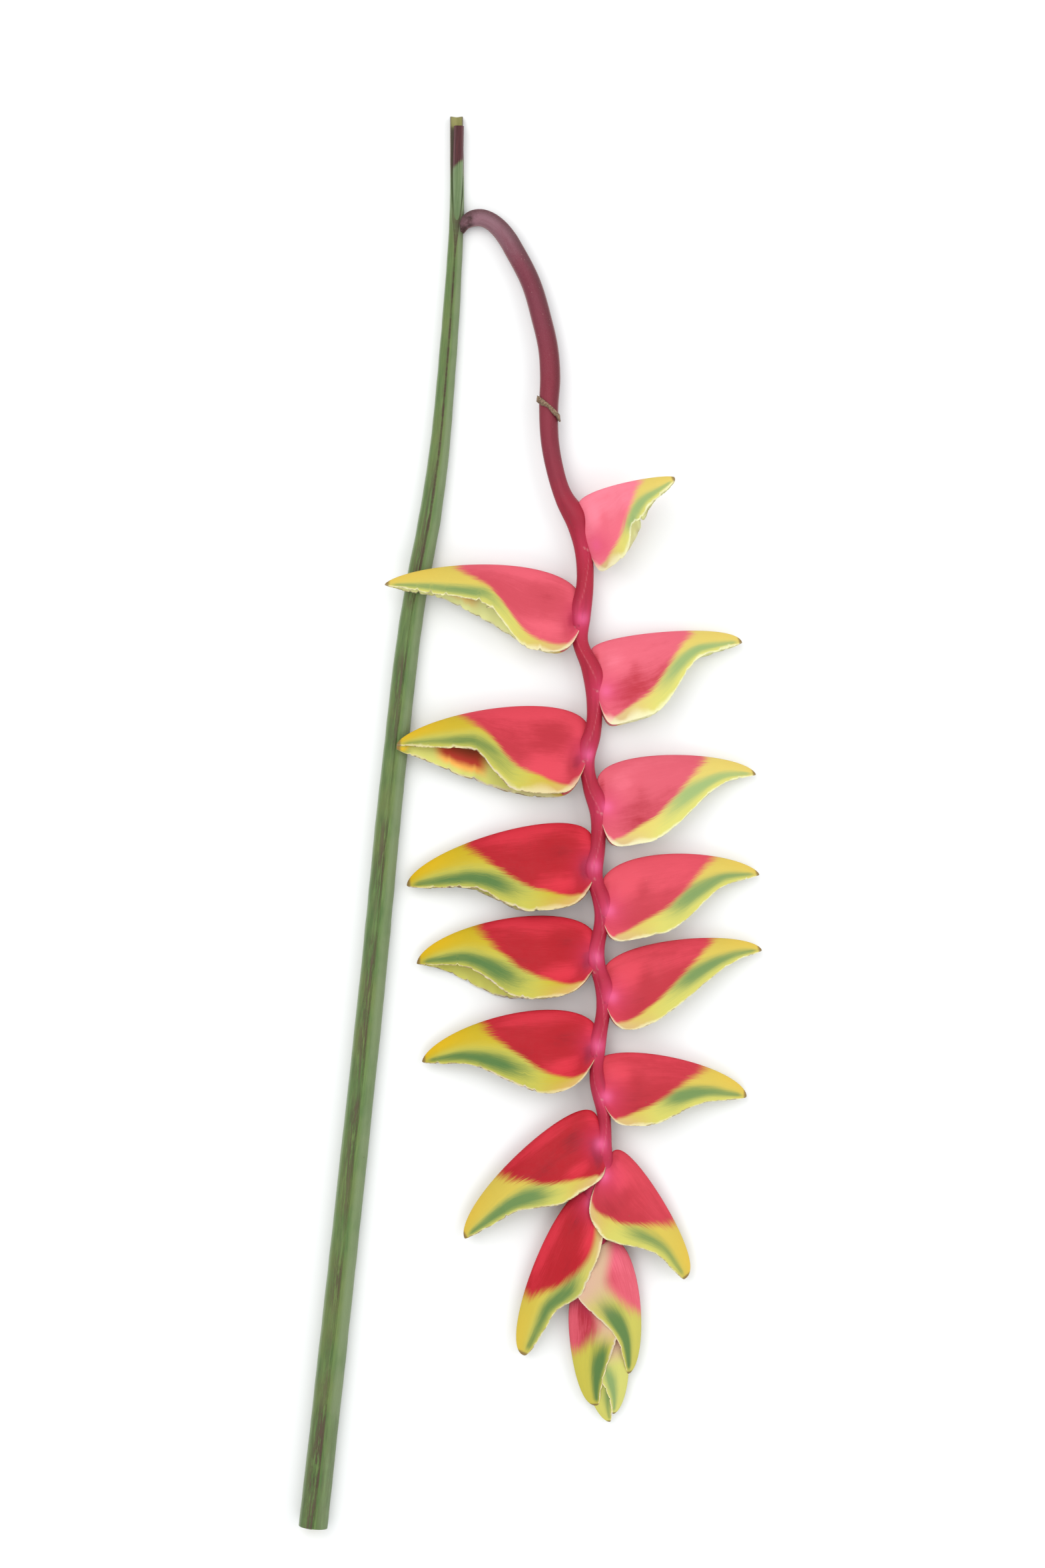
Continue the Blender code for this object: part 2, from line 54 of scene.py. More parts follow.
class Bract(NamedTuple):
    """A folded, boat-shaped bract: its line from root to tip, how far it swells, and its colouring."""

    side: int  # +1 grows to the right of the stalk, -1 to the left
    root: tuple
    tip: tuple
    rise: float  # keel above the line
    drop: float  # free margins below the line
    near_mouth: tuple  # shares of the length between which the upper margin climbs to the line
    far_mouth: tuple
    slant: float = 0.0  # how far the base leans back for each millimetre of height
    half_width: float = 9.3  # how far each cheek swells from the line at the widest place
    roll: float = 0.0  # degrees by which the keel turns down, towards the table
    keel_base: float = 0.25  # how slowly the keel rises from the root; a square base has less
    taper: float = 0.6  # how early the keel comes down to the tip; a blunt bract has less
    tip_share: float = 0.12  # share of the drop that the margins keep until close to the tip
    base_round: float = 0.03  # share of the length in which the margins reach their depth at the base
    knob: tuple = (4.5, -3.0)  # the swollen place where base and stalk meet: along and towards the keel
    keel_red: float = 0.7  # share of the keel that is red
    red_reach: float = 0.87  # how far down the cheek the red goes, 1 at the margin
    base_red: float = 0.0  # place along the bract where the red is at its lowest on the cheek
    cream_from: float = 0.8  # how far down the cheek the cream of the base starts
    young: float = 0.0  # 1 on the small bracts at the hanging end
    warm: float = 0.0  # how red the far cheek is inside, where an open mouth shows it
    edge: float = 1.7  # width of the pale edge along the margin near the base, in millimetres
    pale: float = 0.0  # 1 where the red is painted rosy, as painted light shining through thin cheeks
    light: float = 0.0  # the same painted light through the cheeks, for the yellow and green
    green: float = 1.0  # strength of the green stripe
    glow: float = 0.0  # painted light making the red lighter all over; below 0 it is painted shade
    tatter: float = 0.35  # depth of the torn places in the margin
    tears: tuple = ()  # single tears in the near margin: place along it, depth, spread
    far_tears: tuple = ()


# x, y and radius along the stem, which lies on the table
STEM = [
    (-116.0, -381.4, 7.5),
    (-99.6, -233.0, 7.2),
    (-83.8, -86.0, 6.8),
    (-72.7, 26.0, 6.4),
    (-61.2, 120.0, 6.0),
    (-52.6, 166.0, 5.7),
    (-48.2, 197.0, 5.2),
    (-43.9, 243.0, 4.6),
    (-40.3, 292.0, 4.1),
    (-38.4, 328.0, 3.6),
    (-38.4, 381.5, 3.3),
]
# x, y, z and radius along each stalk's centre line
INNER_STALK = [
    (-38.6, 318.0, 3.6, 1.2), (-38.2, 334.0, 4.8, 2.2), (-37.9, 350.0, 5.3, 2.7), (-37.3, 376.2, 5.4, 2.7),
]
FLOWER_STALK = [
    (-36.6, 319.2, 4.4, 2.2), (-34.2, 323.4, 4.7, 3.4), (-31.0, 325.8, 5.2, 4.3),
    (-25.2, 326.6, 5.7, 4.7), (-20.4, 324.8, 6.1, 4.8), (-15.8, 321.1, 6.5, 5.0),
    (-11.3, 315.5, 6.9, 5.2), (-6.8, 307.8, 7.4, 5.3), (1.4, 291.6, 8.2, 5.3),
    (7.4, 271.4, 9.0, 5.4), (11.0, 255.0, 9.6, 5.4), (12.0, 240.0, 10.1, 5.5),
    (11.2, 223.0, 10.6, 5.2), (11.9, 204.8, 11.2, 4.9), (14.8, 189.0, 11.6, 4.7),
    (19.8, 172.8, 12.0, 4.6), (26.0, 159.5, 12.0, 4.6), (29.6, 148.0, 12.0, 4.7),
    (31.0, 127.4, 12.0, 4.5), (29.6, 111.0, 12.0, 4.4), (28.3, 98.0, 12.0, 4.2),
    (33.0, 82.8, 12.0, 4.2), (35.8, 66.0, 12.0, 4.2), (35.3, 47.0, 12.0, 4.1),
    (32.2, 33.0, 12.0, 3.9), (33.6, 18.0, 12.0, 3.9), (37.6, 4.0, 12.0, 4.1),
    (37.9, -13.0, 12.0, 3.9), (36.5, -30.0, 12.0, 3.8), (39.8, -50.0, 12.0, 3.9),
    (37.6, -71.0, 12.0, 3.7), (40.8, -98.0, 12.0, 3.8), (38.6, -120.0, 12.0, 3.6),
    (36.9, -140.0, 12.0, 3.5), (41.2, -160.0, 12.0, 3.5), (41.6, -176.0, 12.0, 3.3),
    (40.0, -187.0, 12.0, 3.1), (34.8, -201.0, 11.6, 2.8), (38.2, -214.0, 11.3, 2.6),
    (40.0, -228.0, 11.0, 2.4), (35.2, -254.0, 10.2, 2.0), (40.6, -272.0, 9.6, 1.6),
    (40.2, -282.5, 9.2, 1.1),
]
# how far before its root a bract's shoulder swells, and how much; the young bracts have none
SHOULDER, TOP_SHOULDER = (2.0, 3.2), (12.0, 3.4)
SHOULDER_TILT = 0.6  # angle by which a shoulder faces up from its bract's side, in radians
NODE_RADIUS = 4.2  # of a stalk on which a shoulder has its full size
TOP_BRACT = "right_1"
COLLAR_CENTRE = (11.2, 223.2)
COLLAR_HEIGHT = 3.6
COLLAR_SLANT = 0.85
COLLAR_GAP = 0.12  # between the collar and the stalk inside it

BRACTS = {
    "right_1": Bract(
        1, (31.0, 154.0, 12.0), (78.0, 183.6, 38.0), 17.8, 22.6, (0.28, 0.75), (0.29, 0.77), slant=-0.3,
        half_width=9.0, keel_base=0.1, taper=0.78, tip_share=0.39, knob=(6.0, -8.0), keel_red=0.72,
        red_reach=0.9, pale=1.0, light=0.95, glow=0.7, tatter=0.4, tears=((0.5, 5.0, 0.07),),
        far_tears=((0.45, 4.0, 0.25), (0.5, 3.5, 0.012)), edge=4.5, cream_from=0.6,
    ),
    "left_1": Bract(
        -1, (29.8, 111.0, 12.0), (-77.0, 127.4, 18.6), 21.1, 24.2, (0.26, 0.52), (0.07, 0.77),
        slant=-0.15, half_width=9.0, roll=6.0, keel_base=0.3, taper=0.7, tip_share=0.11, base_round=0.05,
        knob=(0.5, -2.0), keel_red=0.65, red_reach=0.93, pale=0.4, light=0.6, glow=0.35, tatter=1.0,
        green=0.85, edge=2.6, warm=0.5,
    ),
    "right_2": Bract(
        1, (35.4, 76.3, 12.0), (115.9, 96.8, 7.0), 18.8, 27.1, (0.32, 0.74), (0.31, 0.73), slant=-0.1,
        half_width=9.4, roll=3.0, keel_base=0.1, taper=0.52, tip_share=0.13, base_round=0.02,
        knob=(5.0, -8.0), pale=0.85, light=0.95, glow=-0.1, tatter=0.4, edge=5.5, cream_from=0.5,
    ),
    "left_2": Bract(
        -1, (33.0, 37.5, 12.0), (-70.6, 41.4, 17.0), 24.0, 25.0, (0.34, 0.63), (0.2, 1.2), slant=0.1,
        half_width=9.2, roll=9.0, keel_base=0.28, taper=0.68, base_round=0.035, knob=(0.5, -2.0),
        keel_red=0.68, red_reach=0.89, pale=0.15, light=0.1, glow=0.6, tatter=0.8, green=0.75, edge=5.0,
        warm=1.0,
    ),
    "right_3": Bract(
        1, (37.4, 9.7, 12.0), (123.5, 25.2, 5.6), 20.5, 25.6, (0.27, 0.85), (0.3, 0.87), slant=-0.1,
        half_width=9.4, keel_base=0.21, tip_share=0.05, keel_red=0.71, pale=0.66, light=1.0, tatter=0.3,
        glow=0.1, edge=3.0,
    ),
    "left_3": Bract(
        -1, (37.0, -26.3, 12.0), (-65.5, -34.6, 6.0), 27.3, 20.3, (0.34, 0.69), (0.36, 0.73), slant=0.05,
        half_width=9.4, roll=2.0, keel_base=0.2, taper=0.61, tip_share=0.29, base_round=0.06,
        knob=(0.5, 2.0), keel_red=0.68, tatter=0.6, glow=0.25, edge=2.8,
    ),
    "right_4": Bract(
        1, (38.8, -46.1, 12.0), (125.3, -28.8, 6.0), 21.8, 20.9, (0.36, 0.82), (0.38, 0.84), slant=-0.15,
        keel_base=0.27, taper=0.65, tip_share=0.13, keel_red=0.74, pale=0.25, light=0.7, glow=0.9,
        tatter=0.3,
    ),
    "left_4": Bract(
        -1, (37.8, -74.9, 12.0), (-60.1, -77.0, 6.0), 24.7, 20.8, (0.38, 0.77), (0.44, 0.99), slant=0.1,
        roll=3.0, keel_base=0.31, taper=0.59, tip_share=0.13, base_round=0.075, knob=(0.5, 1.5),
        keel_red=0.67, glow=0.3, tatter=0.7,
    ),
    "right_5": Bract(
        1, (40.2, -92.9, 12.0), (126.7, -69.8, 5.6), 19.0, 23.5, (0.17, 0.9), (0.2, 0.92), slant=-0.2,
        keel_base=0.22, taper=0.58, tip_share=0.1, base_round=0.045, keel_red=0.72, pale=0.15, light=0.6,
        glow=0.7, tatter=0.3,
    ),
    "left_5": Bract(
        -1, (38.8, -121.7, 12.0), (-57.2, -130.0, 6.0), 22.6, 23.5, (0.24, 0.81), (0.27, 0.83),
        slant=0.15, half_width=9.2, keel_base=0.37, taper=0.65, tip_share=0.18, base_round=0.075,
        knob=(0.5, 1.0), keel_red=0.66, red_reach=0.86, glow=0.2, tatter=0.5,
    ),
    "right_6": Bract(
        1, (37.8, -145.1, 12.0), (118.4, -148.7, 6.0), 21.2, 18.3, (0.25, 0.78), (0.28, 0.8), slant=0.3,
        half_width=9.2, keel_base=0.24, taper=0.58, tip_share=0.29, keel_red=0.73, red_reach=0.86,
        pale=0.12, light=0.55, glow=0.5, tatter=0.3,
    ),
    "left_6": Bract(
        -1, (41.8, -175.6, 12.0), (-34.2, -225.4, 8.0), 25.4, 13.1, (0.31, 0.69), (0.31, 0.71), slant=0.4,
        half_width=11.0, keel_base=0.19, tip_share=0.24, base_round=0.02, knob=(1.0, 3.0), keel_red=0.65,
        light=0.45, green=1.1,
    ),
    "right_7": Bract(
        1, (40.4, -185.5, 12.0), (85.0, -247.3, 8.0), 15.8, 23.4, (0.28, 0.79), (0.28, 0.79), slant=0.4,
        half_width=9.9, keel_base=0.2, taper=0.43, tip_share=0.25, base_round=0.05, keel_red=0.66,
        red_reach=0.86, cream_from=0.72, pale=0.15, light=0.5, glow=0.5, green=0.75,
    ),
    "left_7": Bract(
        -1, (34.4, -200.0, 11.6), (-2.5, -288.7, 7.0), 13.7, 18.4, (0.5, 0.72), (0.5, 0.72), slant=0.35,
        half_width=8.7, keel_base=0.45, taper=0.48, tip_share=0.54, base_round=0.09, keel_red=0.7,
        red_reach=0.9, base_red=0.15, cream_from=0.7, light=0.3, glow=0.25, young=0.3, green=0.95,
    ),
    "right_8": Bract(
        1, (40.2, -227.0, 11.0), (54.4, -298.8, 7.0), 14.3, 20.3, (0.23, 0.79), (0.23, 0.79), slant=0.2,
        half_width=7.2, keel_base=0.35, taper=0.59, tip_share=0.13, base_round=0.045, keel_red=0.58,
        red_reach=0.58, base_red=0.18, cream_from=0.42, young=1.0, pale=0.62, light=0.3, glow=0.25,
        green=1.3,
    ),
    "left_8": Bract(
        -1, (35.0, -254.0, 9.5), (37.4, -316.1, 6.2), 13.6, 14.4, (0.19, 0.88), (0.19, 0.88), slant=0.3,
        half_width=4.9, keel_base=0.21, taper=0.43, tip_share=0.38, base_round=0.045, keel_red=0.55,
        red_reach=0.85, base_red=-0.15, cream_from=0.9, young=1.0, pale=0.6, light=0.0, glow=-0.75,
        green=1.15,
    ),
    "right_9": Bract(
        1, (41.2, -272.0, 8.3), (46.2, -320.8, 5.6), 11.5, 10.0, (0.2, 0.9), (0.2, 0.9), slant=0.2,
        half_width=3.7, keel_base=0.35, tip_share=0.2, keel_red=0.25, red_reach=0.6, base_red=-0.15,
        young=1.0, pale=0.25, light=0.8, green=1.05,
    ),
    "left_9": Bract(
        -1, (40.0, -284.0, 7.6), (44.3, -325.1, 5.1), 10.5, 8.0, (0.2, 0.9), (0.2, 0.9), slant=0.1,
        half_width=2.3, keel_base=0.35, tip_share=0.5, keel_red=0.15, red_reach=0.5, base_red=-0.15,
        young=1.0, pale=0.25, light=0.5, green=0.8,
    ),
}
WITH_FLOWERS = 12  # the flowers show only in the older bracts, first in the list

CHEEK_BASE, CHEEK_TAPER = 0.35, 0.65  # how slowly a cheek widens from the root and how early it narrows
LENGTH_ROWS = 110
CHEEK_COLUMNS = 36
KEEL_ROUND = 0.035  # share of the way from keel to margin over which the keel is rounded
KEEL_WALL, MARGIN_WALL = 1.1, 0.45
CHEEK_WIDTH = 22.0  # across which the fibres' pattern is spread
LEAST_SPAN = 0.4  # left between keel and margin at the widest place, however deep a tear goes
FLUTTER = 0.5  # height of the waves along the margin
SEEDS_EACH = 10  # random seeds set aside for each bract
GROWN_LENGTH, GROWN_HALF_WIDTH = 95.0, 9.0  # of a bract whose soft forms have their full size

# soft forms on a bract's cheeks: outward amount, place along and its spread, depth from keel to margin
# and its spread
LEFT_FORMS = [
    (-2.1, 0.060, 0.050, 0.74, 0.15),  # the deep hollow under the knob
    (-0.7, 0.19, 0.10, 0.36, 0.16),  # the shallow one behind the base
    (1.1, 0.26, 0.13, 0.76, 0.14),  # the belly
    (-0.7, 0.17, 0.10, 0.94, 0.06),  # the dip above the margin's flare
    (-0.5, 0.62, 0.22, 0.74, 0.13),  # the flute that the green stripe follows
]
RIGHT_FORMS = [
    (-1.3, 0.06, 0.045, 0.30, 0.17),  # the crease beside the stalk
    (-0.8, 0.28, 0.08, 0.42, 0.20),  # the shallow hollow behind the base
    (0.9, 0.25, 0.13, 0.70, 0.14),  # the belly
    (-0.8, 0.17, 0.12, 0.90, 0.06),  # the dip above the margin's flare
    (-0.5, 0.62, 0.22, 0.74, 0.13),  # the flute that the green stripe follows
]
# painted light and painted shade on the red, in the same columns: the amount is positive where it is
# lighter
LEFT_PAINTED_SHADING = [
    (-0.6, 0.19, 0.09, 0.38, 0.18),  # behind the base
    (-1.9, 0.050, 0.045, 0.66, 0.20),  # the hollow
    (0.8, 0.20, 0.12, 0.74, 0.12),  # the belly
    (0.6, 0.04, 0.05, 0.25, 0.25),
    (-0.5, 0.42, 0.13, 0.58, 0.16),
    (0.9, 0.36, 0.26, 0.10, 0.14),  # along the keel
]
RIGHT_PAINTED_SHADING = [
    (-1.1, 0.035, 0.03, 0.28, 0.16),  # the crease beside the stalk
    (-0.5, 0.27, 0.05, 0.45, 0.12),
    (-0.9, 0.22, 0.15, 0.72, 0.20),  # low on the belly
    (0.6, 0.16, 0.10, 0.32, 0.16),
    (-0.5, 0.45, 0.14, 0.62, 0.16),
    (0.3, 0.40, 0.24, 0.06, 0.10),  # along the keel
]

BASE_REACH = 0.94  # how far down a grown bract's cheek the red goes near the base
ALONG_FADE = 4.0  # half the border's width where it crosses the fibres, in millimetres
ACROSS_FADE = 1.1  # and where it runs along them
FAR_REACH = 0.68  # how far down the cheek the red goes at most on the side that lies on the table
STRIPE_DEPTH = {-1: 0.80, 1: 0.74}  # by the bract's side

FLOWER_ROOT = 0.16  # share of the bract's length at which its flowers start
# where each flower ends: share of the bract's length, distance towards the upper cheek, and how far it
# bends towards the keel, as a share of the drop
FLOWERS = [(0.52, -2.8, 0.10), (0.46, 2.6, 0.02), (0.36, 0.2, -0.34)]
SHOWING_FLOWERS = {"left_1": (0.485, 3.2, -0.17)}  # a first flower that shows at the mouth's edge
FLOWER_RADIUS = 1.9
FLOWER_ROWS, FLOWER_COLUMNS = 44, 20
KNOB_LIFT = 4.0  # of a knob's middle over the bract's line
KNOB_HIGHLIGHT_SPREAD, BASE_MAGENTA_SPREAD = 3.2, 9.0  # spread of the painted highlight on a knob and of the magenta round it, which is partly painted sheen

# colours in pairs: of a thick bract, and painted lighter for one whose thin cheeks light shines through
RED = (0.375, 0.007, 0.014), (0.710, 0.130, 0.180)
# darker and lighter red, for the shade map's painted shade and painted light and for the fibres' streaks
DEEP_RED = (0.190, 0.004, 0.009), (0.430, 0.022, 0.036)
BRIGHT_RED = (0.570, 0.024, 0.042), (0.800, 0.200, 0.265)
YELLOW = (0.480, 0.350, 0.012), (0.630, 0.495, 0.120)
# orange yellow along the keel near the tip: its own colour, partly a painted highlight
TIP_YELLOW = (0.650, 0.400, 0.005), (0.680, 0.480, 0.090)
LIME = (0.465, 0.430, 0.070), (0.600, 0.560, 0.140)
YOUNG_LIME = (0.470, 0.415, 0.058), (0.540, 0.540, 0.150)
STRIPE_GREEN = (0.080, 0.160, 0.040), (0.290, 0.390, 0.140)
CREAM = (0.540, 0.330, 0.120), (0.530, 0.370, 0.190)
EDGE_CREAM = (0.660, 0.570, 0.330), (0.760, 0.760, 0.500)
# the hollow's inside: its own lime, painted brighter for the light shining through the cheeks
INSIDE_LIME = (0.600, 0.580, 0.120), (0.950, 0.980, 0.500)
# and colours that all bracts share
PINK_CREAM = (0.560, 0.350, 0.245)
YOUNG_EDGE = (0.800, 0.660, 0.460)
# magenta round each knob: the node's own colour, partly painted sheen
MAGENTA = (0.600, 0.045, 0.130)
# painted highlight on each knob
KNOB_HIGHLIGHT_PINK = (0.740, 0.120, 0.280)
DRY_BROWN = (0.170, 0.095, 0.048)
DRY_FILM = (0.560, 0.470, 0.350)
# painted shade deep in the hollow
DEEP_INSIDE_SHADE = (0.130, 0.030, 0.012)
INSIDE_ORANGE, INSIDE_RED = (0.900, 0.420, 0.080), (0.500, 0.030, 0.020)
# the sheath; a pair is of its darker and its lighter fibres
SHEATH_GREEN = (0.075, 0.140, 0.035), (0.125, 0.200, 0.055)
SHEATH_OLIVE = (0.150, 0.190, 0.050)
SHEATH_VEIN = (0.050, 0.090, 0.030)
# pale edges of the channel, and a pale bloom along the stem's left edge that is partly a painted highlight
SHEATH_RIM = (0.300, 0.370, 0.230)
SHEATH_MAUVE = (0.190, 0.120, 0.110)
BLOOM_GREY = (0.185, 0.240, 0.120)
SCUFF_BROWN = (0.085, 0.055, 0.036)
# painted shade round the slit where the flower stalk leaves the sheath
SLIT_SHADE = (0.030, 0.018, 0.014)
LAP_BROWN = (0.080, 0.048, 0.032)
SPOT_BROWN = (0.060, 0.040, 0.022)
STRAW = (0.300, 0.280, 0.100)
# the inner leaf stalk
STALK_GREEN = (0.095, 0.150, 0.060), (0.150, 0.210, 0.090)
STALK_MAROON = (0.040, 0.008, 0.010), (0.085, 0.019, 0.021)
GREEN_RIM, MAROON_RIM = (0.210, 0.270, 0.150), (0.240, 0.140, 0.145)
# the flower stalk, from sheath to bracts; the painted shade on its one side changes along it, its scars are
# dark or pale
# dark brown where the flower stalk leaves the sheath: its own colour, partly painted shade
SOCKET_BROWN_AND_SHADE = (0.030, 0.016, 0.014)
ARCH_MAUVE = (0.230, 0.115, 0.140)
ARCH_WINE = (0.165, 0.034, 0.052)
STALK_WINE = (0.205, 0.026, 0.042)
ZIGZAG_RED = (0.350, 0.016, 0.037)
STALK_SIDE_SHADE = (0.085, 0.040, 0.044), (0.110, 0.012, 0.020)
STREAK_WINE = (0.120, 0.010, 0.020)
DOWN_PINK = (0.400, 0.240, 0.240)
# pale down along the stalk's outline: its own colour, partly painted sheen
RIM_DOWN = (0.400, 0.260, 0.240)
SPOT_PINK = (0.620, 0.360, 0.320)
SEAM_PINK = (0.600, 0.200, 0.220)
SHEEN_PINK = (0.950, 0.700, 0.720)
SCAR = (0.090, 0.010, 0.020), (0.620, 0.330, 0.300)
# the collar, the cut ends, the flowers and the floor
PAPER_TAN = (0.120, 0.070, 0.040), (0.340, 0.230, 0.140)
PAPER_EDGE = (0.080, 0.045, 0.026)
PITH = (0.480, 0.440, 0.200), (0.360, 0.330, 0.130)
VESSEL_BROWN = (0.160, 0.130, 0.050)
PETAL = (0.420, 0.440, 0.180), (0.760, 0.690, 0.360)
PETAL_GREEN = (0.520, 0.520, 0.160)
FLOOR_PALE = (0.820, 0.820, 0.810)


# ---------------------------------------------------------------- curves and meshes


def smoothstep(value, start, end):
    share = np.clip((value - start) / (end - start), 0.0, 1.0)
    return share * share * (3 - 2 * share)


def window(value, rise, fall):
    """0, then 1 from the end of the rise to the start of the fall, then 0 again, with smooth changes."""
    return smoothstep(value, *rise) * (1 - smoothstep(value, *fall))


def hill(value, middle, spread):
    """1 at the middle, falling as exp(-d^2) on both sides, with d the distance in spreads."""
    return np.exp(-(((value - middle) / spread) ** 2))


def ripple(t, seed, slowest, fastest, waves=10):
    """Smooth random line between about -1 and 1: sine waves of random phase, weaker as they get faster."""
    draw = np.random.default_rng(seed)
    frequency = np.linspace(slowest, fastest, waves)
    strength = draw.normal(size=waves) * (slowest / frequency) ** 0.5
    phase = draw.uniform(0, TURN, waves)
    line = (strength * np.sin(TURN * np.asarray(t)[..., None] * frequency + phase)).sum(axis=-1)
    return line / (1.4 * np.sqrt((strength**2).sum()))


def smooth_route(stations, step):
    """Cubic curve through the stations, its slope at each one taken from its two neighbours."""
    values = np.array(stations, dtype=float)
    spans = np.linalg.norm(np.diff(values[:, :2], axis=0), axis=1)
    along = np.concatenate([[0.0], np.cumsum(spans)])
    slopes = np.gradient(values, along, axis=0)
    wanted = np.linspace(0.0, along[-1], round(along[-1] / step) + 1)
    cell = np.clip(np.searchsorted(along, wanted, side="right") - 1, 0, len(spans) - 1)
    width = spans[cell][:, None]
    t = ((wanted - along[cell]) / spans[cell])[:, None]
    return (
        (2 * t**3 - 3 * t**2 + 1) * values[cell]
        + (t**3 - 2 * t**2 + t) * width * slopes[cell]
        + (3 * t**2 - 2 * t**3) * values[cell + 1]
        + (t**3 - t**2) * width * slopes[cell + 1]
    )


def cross_axes(centres):
    """Sideways and upward directions square to a centre line that runs near the table."""
    forward = np.gradient(centres, axis=0)
    forward /= np.linalg.norm(forward, axis=1)[:, None]
    sideways = np.cross(forward, (0.0, 0.0, 1.0))
    sideways /= np.linalg.norm(sideways, axis=1)[:, None]
    return sideways, np.cross(sideways, forward)


def around(centres, right, above):
    """Points at a sideways and an upward distance from each centre, one row of points to a centre."""
    sideways, upward = cross_axes(centres)
    across = right[..., None] * sideways[:, None, :]
    return centres[:, None, :] + across + above[..., None] * upward[:, None, :]


def round_angles(count):
    """Even angles once round: 0 to the right of a route, as one walks along it, and a quarter turn up."""
    return (np.arange(count) * TURN / count)[None, :]


def tube(centres, reach, angle):
    """Rings of points at a reach from their centres."""
    return around(centres, reach * np.cos(angle), reach * np.sin(angle))


def ring_faces(rows, columns, loop_rows=False):
    """Quads between neighbouring rings of points; on a hoop the last ring joins the first."""
    ring = np.arange(rows if loop_rows else rows - 1)[:, None]
    column = np.arange(columns)[None, :]
    after = (column + 1) % columns
    start, following = ring * columns, (ring + 1) % rows * columns
    corners = [start + column, start + after, following + after, following + column]
    return np.stack(corners, axis=-1).reshape(-1, 4)


def closed_piece(name, rings, values, materials, loop_rows=False, cap_slot=0):
    """A closed mesh from rings in millimetres: quads between them, and a fan of triangles on each end.

    values holds one number for each point under each attribute's name; an end's middle takes the mean of
    its ring.
    """
    rows, columns = rings.shape[:2]
    points = rings.reshape(-1, 3)
    faces = ring_faces(rows, columns, loop_rows).tolist()
    values = {key: np.broadcast_to(value, (rows, columns)) for key, value in values.items()}
    middles = 0 if loop_rows else 2
    if middles:
        corner = np.arange(columns)
        after = (corner + 1) % columns
        end, middle = (rows - 1) * columns, np.full(columns, rows * columns)
        fans = [middle, after, corner], [middle + 1, end + corner, end + after]
        faces += np.hstack(fans).T.tolist()
        points = np.vstack([points, rings[0].mean(axis=0), rings[-1].mean(axis=0)])
    mesh = bpy.data.meshes.new(name)
    mesh.from_pydata((points * MM).tolist(), [], faces)
    for key, value in values.items():
        flat = np.append(value, [value[0].mean(), value[-1].mean()][:middles])
        mesh.attributes.new(key, "FLOAT", "POINT").data.foreach_set("value", flat.astype(np.float32))
    slots = np.zeros(len(faces), dtype=np.int32)
    slots[len(faces) - middles * columns :] = cap_slot
    mesh.polygons.foreach_set("material_index", slots)
    for finish in materials:
        mesh.materials.append(finish)
    shape = bmesh.new()
    shape.from_mesh(mesh)
    bmesh.ops.recalc_face_normals(shape, faces=shape.faces)
    shape.to_mesh(mesh)
    shape.free()
    mesh.shade_smooth()
    mesh.set_sharp_from_angle(angle=math.radians(SHARP_FROM))
    piece = bpy.data.objects.new(name, mesh)
    bpy.context.scene.collection.objects.link(piece)
    return piece


def hand_over(piece, node):
    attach(piece, "root")
    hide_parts(node)


def grow_skin(node, slot, *surface, **options):
    """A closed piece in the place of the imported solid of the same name."""
    hand_over(closed_piece(f"{node}_skin", *surface, **options), node)


# ---------------------------------------------------------------- shader nodes


